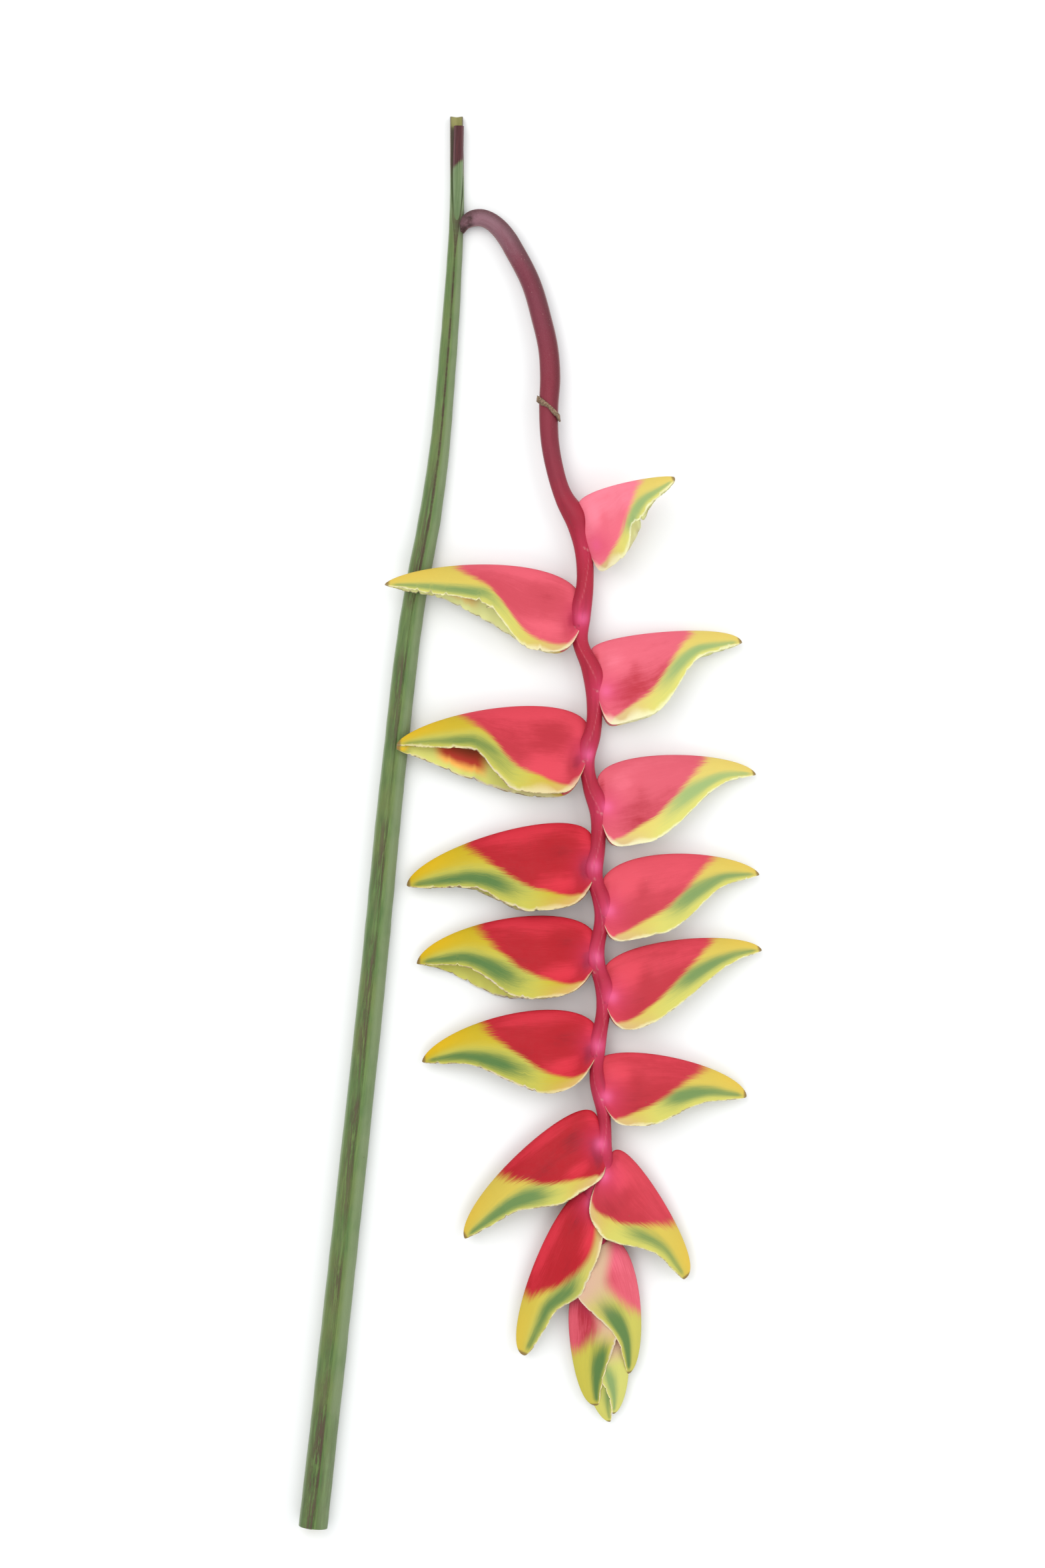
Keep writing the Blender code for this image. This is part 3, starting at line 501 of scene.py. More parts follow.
class Graph:
    """Short words for building a node tree: each call adds nodes and gives back their output."""

    def __init__(self, tree):
        self.tree = tree

    def node(self, kind, **settings):
        made = self.tree.nodes.new(kind)
        for key, value in settings.items():
            setattr(made, key, value)
        return made

    def feed(self, socket, value):
        if isinstance(value, bpy.types.NodeSocket):
            self.tree.links.new(value, socket)
        elif isinstance(value, tuple) and len(value) == 3 and socket.type == "RGBA":
            socket.default_value = (*value, 1.0)
        else:
            socket.default_value = value

    def feed_all(self, sockets, values):
        """Feeds sockets by name, with _ for each space in it."""
        for name, value in values.items():
            self.feed(sockets[name.replace("_", " ")], value)

    def attribute(self, name, share=1.0):
        """A number that the mesh carries, or a share of it."""
        number = self.node("ShaderNodeAttribute", attribute_name=name).outputs["Fac"]
        return number if share == 1.0 else self.times(number, share)

    def math(self, operation, result, *values):
        """One operation on two values or, in turn, on more."""
        for value in values:
            made = self.node("ShaderNodeMath", operation=operation)
            self.feed(made.inputs[0], result)
            self.feed(made.inputs[1], value)
            result = made.outputs[0]
        return result

    def add(self, *values):
        return self.math("ADD", *values)

    def times(self, *values):
        return self.math("MULTIPLY", *values)

    def fade(self, value, start, end, low=0.0, high=1.0):
        """Smooth change from low to high while the value goes from start to end."""
        made = self.node("ShaderNodeMapRange", interpolation_type="SMOOTHSTEP")
        ends = {"From_Min": start, "From_Max": end, "To_Min": low, "To_Max": high}
        self.feed_all(made.inputs, {"Value": value, **ends})
        return made.outputs[0]

    def mix(self, share, first, second):
        made = self.node("ShaderNodeMix", data_type="RGBA")
        self.feed(made.inputs["Factor"], share)
        self.feed(made.inputs[6], first)
        self.feed(made.inputs[7], second)
        return made.outputs[2]

    def coats(self, colour, *coats):
        """A colour with others laid over it in turn, each after the share of it that covers."""
        for share, coat in coats:
            colour = self.mix(share, colour, coat)
        return colour

    def vector(self, x, y, z):
        made = self.node("ShaderNodeCombineXYZ")
        for socket, value in zip(made.inputs, (x, y, z)):
            self.feed(socket, value)
        return made.outputs[0]

    def noise(self, place, scale, detail, roughness):
        made = self.node("ShaderNodeTexNoise")
        settings = {"Vector": place, "Scale": scale, "Detail": detail, "Roughness": roughness}
        self.feed_all(made.inputs, settings)
        return made.outputs["Fac"]

    def streaks(self, along, across, layer, detail, roughness):
        """Noise drawn out lengthwise, of places already scaled; layer tells one pattern from another."""
        return self.noise(self.vector(along, across, layer), 1.0, detail, roughness)

    def use(self, group, **values):
        made = self.node("ShaderNodeGroup", node_tree=group)
        self.feed_all(made.inputs, values)
        return made.outputs


def new_group(name, inputs, outputs):
    """An empty shader node group with named inputs and outputs, its graph and both ends' sockets."""
    tree = bpy.data.node_groups.new(name, "ShaderNodeTree")
    for label, start in inputs.items():
        kind = "NodeSocketVector" if isinstance(start, tuple) else "NodeSocketFloat"
        tree.interface.new_socket(label, in_out="INPUT", socket_type=kind).default_value = start
    for label in outputs:
        tree.interface.new_socket(label, in_out="OUTPUT", socket_type="NodeSocketFloat")
    graph = Graph(tree)
    return tree, graph, graph.node("NodeGroupInput").outputs, graph.node("NodeGroupOutput").inputs


def fibre_group():
    """Fibres that run along a piece: noise stretched lengthwise, as a broad one, a fine one and hairs.

    Along is a length in millimetres, Across a distance over the fibres in millimetres, and Number sets
    one piece's fibres apart from the next.
    """
    inputs = {"Along": 0.0, "Across": 0.0, "Number": 0.0}
    tree, g, given, out = new_group("lengthwise_fibres", inputs, ["Broad", "Fine", "Hair"])
    layer = g.times(given["Number"], LAYER_STEP)
    for label, lengthwise, crosswise, detail in (
        ("Broad", 0.055, 0.42, 2.0),
        ("Fine", 0.09, 4.2, 3.0),
        ("Hair", 0.26, 9.0, 2.0),
    ):
        along, across = g.times(given["Along"], lengthwise), g.times(given["Across"], crosswise)
        g.feed(out[label], g.streaks(along, across, layer, detail, 0.6))
    return tree


def speck_group():
    """Small separate specks: the cells of a Voronoi pattern whose random value stays under the share."""
    inputs = {"Place": (0.0, 0.0, 0.0), "Spacing": 3.0, "Size": 0.25, "Share": 0.3}
    tree, g, given, out = new_group("small_specks", inputs, ["Mask"])
    cells = g.node("ShaderNodeTexVoronoi", feature="F1")
    g.feed_all(cells.inputs, {"Vector": given["Place"], "Scale": g.math("DIVIDE", 1.0, given["Spacing"])})
    near = g.times(cells.outputs["Distance"], given["Spacing"])
    dot = g.fade(near, given["Size"], g.times(given["Size"], 0.35))
    chosen = g.node("ShaderNodeSeparateColor")
    g.feed(chosen.inputs[0], cells.outputs["Color"])
    g.feed(out["Mask"], g.times(dot, g.math("LESS_THAN", chosen.outputs[0], given["Share"])))
    return tree


def place_in_millimetres(g):
    """Object coordinates in millimetres."""
    scaled = g.node("ShaderNodeVectorMath", operation="SCALE")
    g.feed(scaled.inputs[0], g.node("ShaderNodeTexCoord").outputs["Object"])
    g.feed(scaled.inputs["Scale"], 1.0 / MM)
    return scaled.outputs[0]


def new_material(name):
    """A material, the graph of its nodes and the inputs of its shader."""
    finish = bpy.data.materials.new(name)
    finish.use_nodes = True
    return finish, Graph(finish.node_tree), finish.node_tree.nodes["Principled BSDF"].inputs


def feed_shader(g, shader, height, distance, strength, **settings):
    """Gives a shader its settings by name, and a relief whose height of 1 is a distance in millimetres."""
    g.feed_all(shader, settings)
    bump = g.node("ShaderNodeBump")
    g.feed_all(bump.inputs, {"Height": height, "Distance": distance * MM, "Strength": strength})
    g.feed(shader["Normal"], bump.outputs[0])


# ---------------------------------------------------------------- materials


def bract_skin(fibres, specks):
    """Waxy bract: red to a border frayed along the fibres, then yellow with a green stripe and a pale rim.

    The mesh carries the distance to the border and the places of stripe, rim, painted shade and light; the
    fibres shift them. A pale bract, painted as lit through thin cheeks, has the lighter colour of each
    pair.
    """
    finish, g, shader = new_material("bract_skin")
    along, across, number = (g.attribute(name) for name in ("along_mm", "across_mm", "number"))
    # pale and light: how far a bract is painted as lit through its thin cheeks
    pale, light, young, warm = (g.attribute(name) for name in ("pale", "light", "young", "warm"))
    grain = g.use(fibres, Along=along, Across=across, Number=number)
    fine, broad, hair = (g.add(grain[name], -0.5) for name in ("Fine", "Broad", "Hair"))
    place = place_in_millimetres(g)
    cloud = g.noise(place, 0.30, 3.0, 0.6)
    clouding = g.add(cloud, -0.5)

    # red area, with painted shade and painted light from the shade map, and fine streaks
    streak = g.add(g.fade(light, 0.0, 1.0, 0.8, 0.45), g.times(young, 1.2))
    streaked = g.add(g.times(fine, streak), g.times(broad, 0.8), g.times(clouding, 0.35))
    shade = g.add(g.attribute("shade"), streaked)
    red = g.coats(
        g.mix(pale, *RED),
        (g.fade(shade, 0.0, -1.3), g.mix(pale, *DEEP_RED)),
        (g.fade(shade, 0.0, 1.2), g.mix(pale, *BRIGHT_RED)),
        # the magenta round the knobs, partly painted sheen, and the painted highlight on them
        (g.attribute("base", 0.5), MAGENTA),
        (g.attribute("knob", 0.7), KNOB_HIGHLIGHT_PINK),
    )

    # yellow area, from the keel through the stripe to the belly
    lime_share = g.add(g.attribute("lime"), g.times(fine, 0.5))
    green_share = g.add(g.attribute("stripe"), g.times(fine, 0.5), g.times(broad, 0.4))
    yellow = g.coats(
        g.mix(light, *YELLOW),
        (g.attribute("tip_glow"), g.mix(light, *TIP_YELLOW)),
        (g.fade(lime_share, 0.0, 1.0), g.mix(young, g.mix(light, *LIME), g.mix(light, *YOUNG_LIME))),
        (g.fade(green_share, 0.0, 1.1), g.mix(g.times(light, light), *STRIPE_GREEN)),
        (g.attribute("cream"), g.mix(young, g.mix(light, *CREAM), PINK_CREAM)),
    )

    # the border between them, shifted along the fibres
    shift = g.add(g.times(fine, 11.0), g.times(broad, 6.0), g.times(hair, 5.0))
    border = g.add(g.attribute("border"), g.times(shift, g.attribute("fray")))

    # the hollow's inside with painted shade deeper in, the dry film along the margin, its brown edge and
    # the tip
    rim_mm = g.add(g.attribute("rim_mm"), g.times(clouding, 1.2))
    inside = g.coats(
        # the inside's lime, painted brighter for the light shining through the cheeks
        g.mix(light, *INSIDE_LIME),
        (g.times(warm, g.fade(rim_mm, 1.5, 5.0)), INSIDE_ORANGE),
        (g.times(warm, g.fade(rim_mm, 4.0, 8.0)), INSIDE_RED),
        (g.fade(rim_mm, 7.0, 16.0, 0.0, 0.8), DEEP_INSIDE_SHADE),
    )
    edge = g.fade(rim_mm, g.add(g.attribute("edge_mm"), 0.3), 0.2, 0.0, 0.7)
    film = g.times(g.fade(rim_mm, 1.4, 0.5), g.attribute("film"), g.fade(cloud, 0.35, 0.6))
    thick = g.fade(g.add(light, young), 0.3, 1.0, 1.0, 0.3)
    brown_line = g.times(g.fade(g.noise(place, 0.22, 3.0, 0.7), 0.42, 0.60), thick)
    dried = g.math("MAXIMUM", g.times(g.fade(rim_mm, 0.55, 0.2), brown_line), g.attribute("dry_tip"))

    # small blemishes
    spots = g.use(specks, Place=place, Spacing=9.0, Size=0.55, Share=0.16)["Mask"]
    by_fibre = g.vector(along, across, number)
    pale_spots = g.use(specks, Place=by_fibre, Spacing=12.0, Size=0.4, Share=0.2)["Mask"]

    colour = g.coats(
        yellow,
        (g.fade(border, -1.0, 1.0), red),
        (g.fade(g.attribute("washed"), 0.1, 0.7, 0.0, 0.95), PINK_CREAM),
        (g.attribute("inside", 0.95), inside),
        (edge, g.mix(young, g.mix(light, *EDGE_CREAM), YOUNG_EDGE)),
        (film, DRY_FILM),
        (g.times(dried, 0.8), DRY_BROWN),
        (g.times(spots, 0.35), DRY_BROWN),
        (g.times(pale_spots, 0.4), EDGE_CREAM[1]),
    )
    roughness = g.add(g.fade(cloud, 0.3, 0.75, 0.44, 0.56), g.times(dried, 0.3))
    height = g.add(g.times(fine, 0.5), g.times(hair, 0.25), g.times(film, 0.6))
    looks = {"Base_Color": colour, "Roughness": roughness, "Specular_IOR_Level": 0.16}
    feed_shader(g, shader, height, 0.22, 0.6, **looks)
    return finish


def sheath_skin(fibres, specks):
    """Leaf sheath: green under a grey bloom, ribbed lengthwise, with brown scuffs on lap and foot."""
    finish, g, shader = new_material("sheath_skin")
    along, across = g.attribute("along_mm"), g.attribute("across_mm")
    grain = g.use(fibres, Along=along, Across=across, Number=3.0)
    place = place_in_millimetres(g)
    cloud = g.noise(place, 0.03, 3.0, 0.6)
    scuffs = g.fade(g.streaks(g.times(along, 0.05), g.times(across, 0.9), 5.0, 8.0, 0.82), 0.44, 0.53)
    patches = g.fade(g.streaks(g.times(along, 0.016), 0.0, 2.0, 2.0, 0.5), 0.40, 0.54, 0.25, 1.0)
    scuffs = g.times(scuffs, patches, g.attribute("scuffed"))
    scratches = g.fade(g.streaks(g.times(along, 0.08), 0.0, 9.0, 6.0, 0.8), 0.42, 0.56, 0.15, 0.9)
    spots = g.use(specks, Place=place, Spacing=6.0, Size=0.5, Share=0.25)["Mask"]
    colour = g.coats(
        g.mix(g.fade(grain["Broad"], 0.3, 0.7), *SHEATH_GREEN),
        (g.fade(cloud, 0.4, 0.7, 0.0, 0.7), SHEATH_OLIVE),
        (g.fade(grain["Fine"], 0.4, 0.7, 0.0, 0.4), SHEATH_VEIN),
        (g.times(g.attribute("bloom"), g.fade(cloud, 0.3, 0.6, 0.4, 0.8)), BLOOM_GREY),
        # pale edges of the channel, and along the left edge a pale bloom that is partly a painted highlight
        (g.attribute("rim", 0.7), SHEATH_RIM),
        (g.attribute("mauve", 0.7), SHEATH_MAUVE),
        (g.times(scuffs, 0.85), SCUFF_BROWN),
        (g.attribute("straw"), STRAW),
        # painted shade round the slit
        (g.attribute("slit"), SLIT_SHADE),
        (g.times(g.attribute("lap"), scratches), LAP_BROWN),
        (g.times(spots, 0.5), SPOT_BROWN),
    )
    roughness = g.add(g.fade(grain["Fine"], 0.3, 0.7, 0.42, 0.54), g.times(scuffs, 0.2))
    height = g.add(g.times(grain["Fine"], 0.5), g.times(grain["Hair"], 0.25), g.times(scuffs, -0.3))
    looks = {"Base_Color": colour, "Roughness": roughness, "Specular_IOR_Level": 0.3}
    feed_shader(g, shader, height, 0.35, 0.8, **looks)
    return finish


def inner_stalk_skin(fibres):
    """Young leaf stalk: maroon near its cut end and green below, with pale edges."""
    finish, g, shader = new_material("inner_stalk_skin")
    across = g.attribute("across_mm")
    fine = g.use(fibres, Along=g.attribute("along_mm"), Across=across, Number=8.0)["Fine"]
    light_fibre = g.fade(fine, 0.35, 0.65)
    ragged = g.add(g.attribute("from_end_mm"), g.times(g.add(fine, -0.5), 3.0), g.times(across, 0.9))
    maroon = g.mix(g.attribute("rim", 0.35), g.mix(light_fibre, *STALK_MAROON), MAROON_RIM)
    green = g.mix(g.attribute("rim", 0.8), g.mix(light_fibre, *STALK_GREEN), GREEN_RIM)
    colour = g.mix(g.fade(ragged, 19.0, 22.0), maroon, green)
    feed_shader(g, shader, fine, 0.3, 0.8, Base_Color=colour, Roughness=0.42, Specular_IOR_Level=0.2)
    return finish


def downy_skin(fibres, specks):
    """Flower stalk: brown where it leaves the sheath, downy mauve over the arch, then red on the zigzag."""
    finish, g, shader = new_material("downy_skin")
    along, down = g.attribute("along_mm"), g.attribute("down")
    grain = g.use(fibres, Along=along, Across=g.attribute("across_mm"), Number=12.0)
    place = place_in_millimetres(g)
    cloud = g.noise(place, 0.12, 3.0, 0.6)
    fuzz = g.noise(place, 3.2, 3.0, 0.75)
    uneven = g.add(along, g.times(g.add(cloud, -0.5), 24.0))
    spots = g.use(specks, Place=place, Spacing=1.9, Size=0.30, Share=0.30)["Mask"]
    colour = g.coats(
        # dark brown at the start, partly painted shade
        SOCKET_BROWN_AND_SHADE,
        (g.fade(uneven, 3.0, 12.0), ARCH_MAUVE),
        (g.fade(uneven, 18.0, 60.0), ARCH_WINE),
        (g.fade(uneven, 60.0, 130.0), STALK_WINE),
        (g.fade(uneven, 150.0, 220.0), ZIGZAG_RED),
        # painted shade on one side of the stalk
        (g.attribute("shaded_side", 0.75), g.mix(g.fade(uneven, 20.0, 120.0), *STALK_SIDE_SHADE)),
        # the magenta round the knobs, partly painted sheen, and the painted highlight on them
        (g.attribute("base", 0.5), MAGENTA),
        (g.attribute("knob", 0.7), KNOB_HIGHLIGHT_PINK),
        (g.fade(grain["Broad"], 0.45, 0.7, 0.0, 0.2), STREAK_WINE),
        (g.times(g.fade(fuzz, 0.45, 0.75), down, 0.35), DOWN_PINK),
        # pale down along the outline, partly painted sheen
        (g.times(g.attribute("downy_rim"), g.fade(fuzz, 0.3, 0.6, 0.4, 1.0), 0.5), RIM_DOWN),
        (g.times(spots, g.fade(down, 0.0, 0.5, 0.15, 0.4)), SPOT_PINK),
        (g.times(g.attribute("seam"), g.fade(fuzz, 0.3, 0.6, 0.1, 0.4)), SEAM_PINK),
        (
            g.times(g.attribute("scar"), g.fade(fuzz, 0.4, 0.6, 0.2, 0.7)),
            g.mix(g.fade(cloud, 0.45, 0.55), *SCAR),
        ),
    )
    height = g.add(g.times(fuzz, down), g.times(spots, 0.5), g.times(grain["Fine"], 0.4))
    roughness = g.fade(down, 0.0, 1.0, 0.46, 0.8)
    looks = {"Base_Color": colour, "Roughness": roughness, "Specular_IOR_Level": 0.14}
    sheen = {"Sheen_Weight": 0.07, "Sheen_Roughness": 0.35, "Sheen_Tint": SHEEN_PINK}
    feed_shader(g, shader, height, 0.28, 0.8, **looks, **sheen)
    return finish


def collar_skin():
    """Dried papery scale: tan, with painted shade in its creases, and darker at its torn edge."""
    finish, g, shader = new_material("collar_skin")
    crease = g.noise(place_in_millimetres(g), 1.1, 4.0, 0.7)
    # painted shade where the crease relief is low
    colour = g.mix(g.attribute("torn", 0.6), g.mix(g.fade(crease, 0.35, 0.65), *PAPER_TAN), PAPER_EDGE)
    feed_shader(g, shader, crease, 0.5, 0.9, Base_Color=colour, Roughness=0.85)
    return finish


def cut_face():
    """Cut end of a stem: pale pith with darker bundles of vessels."""
    finish, g, shader = new_material("cut_face")
    place = place_in_millimetres(g)
    cells = g.node("ShaderNodeTexVoronoi", feature="F1")
    g.feed_all(cells.inputs, {"Vector": place, "Scale": 1.3})
    bundles = g.fade(cells.outputs["Distance"], 0.34, 0.18)
    pith = g.mix(g.fade(g.noise(place, 0.6, 3.0, 0.6), 0.4, 0.7), *PITH)
    colour = g.mix(g.times(bundles, 0.6), pith, VESSEL_BROWN)
    feed_shader(g, shader, bundles, 0.3, 0.7, Base_Color=colour, Roughness=0.6)
    return finish


def flower_skin(fibres):
    """Flower tube: creamy yellow, greener at its foot and with a brown nib."""
    finish, g, shader = new_material("flower_skin")
    along = g.attribute("along_share")
    place = {"Along": g.times(along, 40.0), "Across": g.attribute("across_mm")}
    fine = g.use(fibres, **place, Number=g.attribute("number"))["Fine"]
    colour = g.coats(
        g.mix(g.fade(along, 0.0, 0.5), *PETAL),
        (g.fade(fine, 0.4, 0.7, 0.0, 0.35), PETAL_GREEN),
        (g.fade(along, 0.975, 0.995, 0.0, 0.8), DRY_BROWN),
    )
    feed_shader(g, shader, fine, 0.25, 0.7, Base_Color=colour, Roughness=0.45)
    return finish


# ---------------------------------------------------------------- bracts


def swelling(t, base, taper):
    """0 at root and tip and 1 at the widest place: t^base (1 - t)^taper over its own greatest value."""
    widest = base / (base + taper)
    return t**base * (1 - t) ** taper / (widest**base * (1 - widest) ** taper)


def margin_fall(t, bract, mouth):
    """Depth of a free margin under the line, as a share of the drop.

    It falls from the root as 1 - exp(-t / base_round) and climbs again between the mouth's two shares,
    except for a small part that stays until close to the tip.
    """
    belly = 1.0 - smoothstep(t, *mouth)
    kept = bract.tip_share * (1 - t) ** 0.4
    return (1 - np.exp(-t / bract.base_round)) * ((1 - bract.tip_share) * belly + kept)


def bract_axes(bract):
    """Root and length of a bract, and its directions: along it, towards its keel and its upper cheek."""
    root = np.array(bract.root)
    line = np.array(bract.tip) - root
    length = np.linalg.norm(line)
    along = line / length
    level = np.array([-along[1], along[0], 0.0]) * bract.side
    level /= np.linalg.norm(level)
    lifted = np.cross(along, level) * bract.side
    turn = math.radians(bract.roll)
    keelward = level * math.cos(turn) - lifted * math.sin(turn)
    upper = lifted * math.cos(turn) + level * math.sin(turn)
    return root, length, along, keelward, upper


def torn_margin(bract, t, seed, single_tears):
    """Unevenness of a margin: slow waves, notches where a faster wave passes 0.45, and single tears."""
    waves = 0.5 * ripple(t, seed, 3, 12)
    notches = np.maximum(ripple(t, seed + 1, 9, 42) - 0.45, 0.0) * 2.2
    tears = sum(deep * hill(t, place, spread) for place, deep, spread in single_tears)
    return bract.tatter * window(t, (0.12, 0.3), (0.9, 1.0)) * (waves + notches) + tears


def knob_place(bract):
    """The swollen place where a bract's base meets the stalk, on the camera's side of both."""
    root, _, along, keelward, upper = bract_axes(bract)
    return root + bract.knob[0] * along + bract.knob[1] * keelward + KNOB_LIFT * upper


def knob_highlights(rings, bracts):
    """How near each point is to the nearest knob: a narrow hill for its painted highlight, and a wide one
    round it.
    """
    nearest = np.minimum.reduce([np.linalg.norm(rings - knob_place(bract), axis=2) for bract in bracts])
    return {"knob": hill(nearest, 0.0, KNOB_HIGHLIGHT_SPREAD), "base": hill(nearest, 0.0, BASE_MAGENTA_SPREAD)}


def bract_rings(bract, number):
    """Closed rings of a bract's thin folded shell, with what its colouring needs.

    t runs from root to tip and s from the far margin (-1) over the keel (0) to the near margin (1). The
    outer skin falls from a narrowly rounded keel to the margin as |s|^1.1, its half width opens as
    1 - (1 - |s|)^2.2 and draws in by an eighth at the margin, and soft hills and hollows are added to it.
    The inner skin is the same shape less a wall that thins towards the margin, and its hollow fades out at
    both ends.
    """
    root, length, along, keelward, upper = bract_axes(bract)
    t = (1 - np.cos(math.pi * np.arange(1, LENGTH_ROWS) / LENGTH_ROWS)) / 2
    half = np.linspace(0.0, 1.0, CHEEK_COLUMNS + 1)
    half = 0.6 * half + 0.4 * half**2
    s = np.concatenate([-half[:0:-1], half])
    t, s = t[:, None], s[None, :]
    depth = np.abs(s)
    keel = bract.rise * swelling(t, bract.keel_base, bract.taper)
    whole_near = -bract.drop * margin_fall(t, bract, bract.near_mouth)
    whole_far = -bract.drop * margin_fall(t, bract, bract.far_mouth)
    seed = SEEDS_EACH * number
    near = whole_near + torn_margin(bract, t, seed, bract.tears)
    far = whole_far + torn_margin(bract, t, seed + 5, bract.far_tears)
    least = LEAST_SPAN * swelling(t, CHEEK_BASE, 0.5)
    margin = np.minimum(np.where(s < 0, far, near), keel - least)
    whole_span = np.maximum(keel - np.where(s < 0, whole_far, whole_near), least)
    swell = bract.half_width * swelling(t, CHEEK_BASE, CHEEK_TAPER)
    fold = (1 - (1 - depth) ** 2.2) * (1 - 0.12 * depth**3)
    size = length / GROWN_LENGTH * min(1.0, bract.half_width / GROWN_HALF_WIDTH)
    forms = hills(LEFT_FORMS if bract.side < 0 else RIGHT_FORMS, t, depth)
    flutter = FLUTTER * ripple(t, seed + 7, 4, 16) * depth**9 * window(t, (0.06, 0.3), (0.85, 1.0))
    lean = bract.slant * (1 - t)
    rounded = (np.sqrt(depth**2 + KEEL_ROUND**2) - KEEL_ROUND) / (np.sqrt(1 + KEEL_ROUND**2) - KEEL_ROUND)
    outer_height = keel + (margin - keel) * rounded**1.1
    soft = size * (forms + flutter) * smoothstep(depth, 0.0, 0.25)
    outer_side = np.sign(s) * (swell * fold + soft)
    wall = np.minimum(KEEL_WALL + (MARGIN_WALL - KEEL_WALL) * depth, 0.35 * swell + 0.05)
    hollow = window(t, (0.10, 0.20), (0.9, 0.97))
    inner_height = outer_height - wall * (1 - depth) ** 2
    inner_side = outer_side - np.sign(s) * wall * np.minimum(1.0, 3 * depth)
    level = far + (near - far) * (s + 1) / 2
    lip = np.abs(inner_side[:, -1:]) * s
    inner_height = level + (inner_height - level) * hollow
    inner_side = lip + (inner_side - lip) * hollow
    skins = []
    for height, side in [(outer_height, outer_side), (inner_height[:, ::-1], inner_side[:, ::-1])]:
        run = length * t - lean * height
        skins.append(root + run[..., None] * along + height[..., None] * keelward + side[..., None] * upper)
    rings = np.hstack(skins)
    values = bract_colouring(bract, length, t, s, keel - margin, whole_span)
    values = {key: np.broadcast_to(value, outer_side.shape) for key, value in values.items()}
    values = {key: np.hstack([value, value[:, ::-1]]) for key, value in values.items()}
    inside = np.hstack([0 * outer_side, hollow + 0 * outer_side])
    return rings, {**values, "number": number, "inside": inside, **knob_highlights(rings, [bract])}


def hills(table, t, depth):
    """Sum of soft hills: each row's amount times a hill along the bract and one across its cheek."""
    return sum(
        amount * hill(t, place, spread) * hill(depth, level, reach)
        for amount, place, spread, level, reach in table
    )


def bract_colouring(bract, length, t, s, span, whole_span):
    """Distances and shares for the skin's colours.

    Depth runs from the keel to where an untorn margin would be (whole_span), and rim_mm from the torn one.
    The red lies inside an ellipse round the base of the keel: u is the share of the way from base_red to
    keel_red, v the depth over the reach, and u^2 + v^2 = 1 is the border. The reach grows from red_reach to
    BASE_REACH towards the base, and on the far cheek it ends at FAR_REACH. The distance to the border is
    told in half widths of its fade, which is wider along the fibres than across them. The green stripe is a
    hill across the cheek three quarters of the way down, from a quarter of the length to the tip.
    """
    young, light = bract.young, bract.light
    depth = np.abs(s) * span / whole_span
    widening = (BASE_REACH - bract.red_reach) * (1 - smoothstep(t, 0.03, 0.28))
    widening = widening + 0.12 * (1 - smoothstep(t, 0.02, 0.10))
    reach = bract.red_reach + widening * (1 - young)
    reach = reach * (1 - 0.5 * young * (1 - smoothstep(t, 0.0, 0.35)))
    reach = np.where(s < 0, np.minimum(reach, FAR_REACH), reach)
    red_length = bract.keel_red - bract.base_red
    u = np.maximum(t - bract.base_red, 0.0) / red_length
    v = np.maximum(depth, 1e-3) / reach  # never 0, so that the keel has a distance to the border too
    far = np.hypot(u, v)
    lengthwise = u / far / (red_length * length)
    crosswise = v / far / (reach * whole_span)
    half_fade = 1 / np.hypot(lengthwise * ALONG_FADE, crosswise * (ACROSS_FADE + 3.0 * young))
    middle = STRIPE_DEPTH[bract.side]
    stripe = hill(depth, middle, np.where(depth < middle, 0.17 + 0.07 * young, 0.15))
    stripe = stripe * window(t, (0.24 - 0.04 * young, 0.56 + 0.08 * young), (0.93, 1.0))
    cream = smoothstep(depth, bract.cream_from, 1.0) * (1 - smoothstep(t, 0.10, 0.38 + 0.22 * young)) * 0.9
    young_base = young * (1 - smoothstep(t, 0.25, 0.5)) * 0.9
    edge_mm = (bract.edge - young) * (1 - 0.75 * smoothstep(t, 0.25, 0.55)) * smoothstep(t, 0.0, 0.07)
    outward = smoothstep(depth, 0.3 + 0.3 * light, 0.8 + 0.2 * light)
    lime = outward * smoothstep(t, 0.1, 0.45) * (1 - 0.6 * smoothstep(t, 0.85, 1.0))
    tip = smoothstep(t, 0.62, 0.93) * (1 - young) * (1 - 0.6 * light)
    return {
        "along_mm": t * length,
        "across_mm": s * CHEEK_WIDTH,
        "border": (1 - far) * half_fade,
        "fray": lengthwise * half_fade,
        "stripe": stripe * bract.green * (0.8 + 0.3 * hill(t, 0.62, 0.2)),
        "lime": (1 - young) * lime + 0.9 * young,
        "cream": np.maximum(cream, young_base),
        "washed": cream * young,
        # orange yellow along the keel near the tip, partly a painted highlight
        "tip_glow": (1 - smoothstep(depth, 0.1, 0.7)) * tip,
        # painted shade and painted light on the red: the table's hills and the bract's glow
        "shade": hills(LEFT_PAINTED_SHADING if bract.side < 0 else RIGHT_PAINTED_SHADING, t, depth) + bract.glow,
        # painted light shining through thin cheeks, for the red and for the other colours
        "pale": bract.pale,
        "light": light,
        "young": young,
        "rim_mm": (1 - np.abs(s)) * span,
        "edge_mm": edge_mm * (0.8 + 0.5 * ripple(t, 77, 2, 14)),
        "warm": bract.warm * window(t, (0.5, 0.58), (0.74, 0.82)) * (s < 0),
        "film": window(t, (0.3, 0.4), (0.58, 0.72)) * smoothstep(1 - light, 0.3, 0.9),
        "dry_tip": smoothstep(t, 0.972, 0.988),
    }


# ---------------------------------------------------------------- flowers


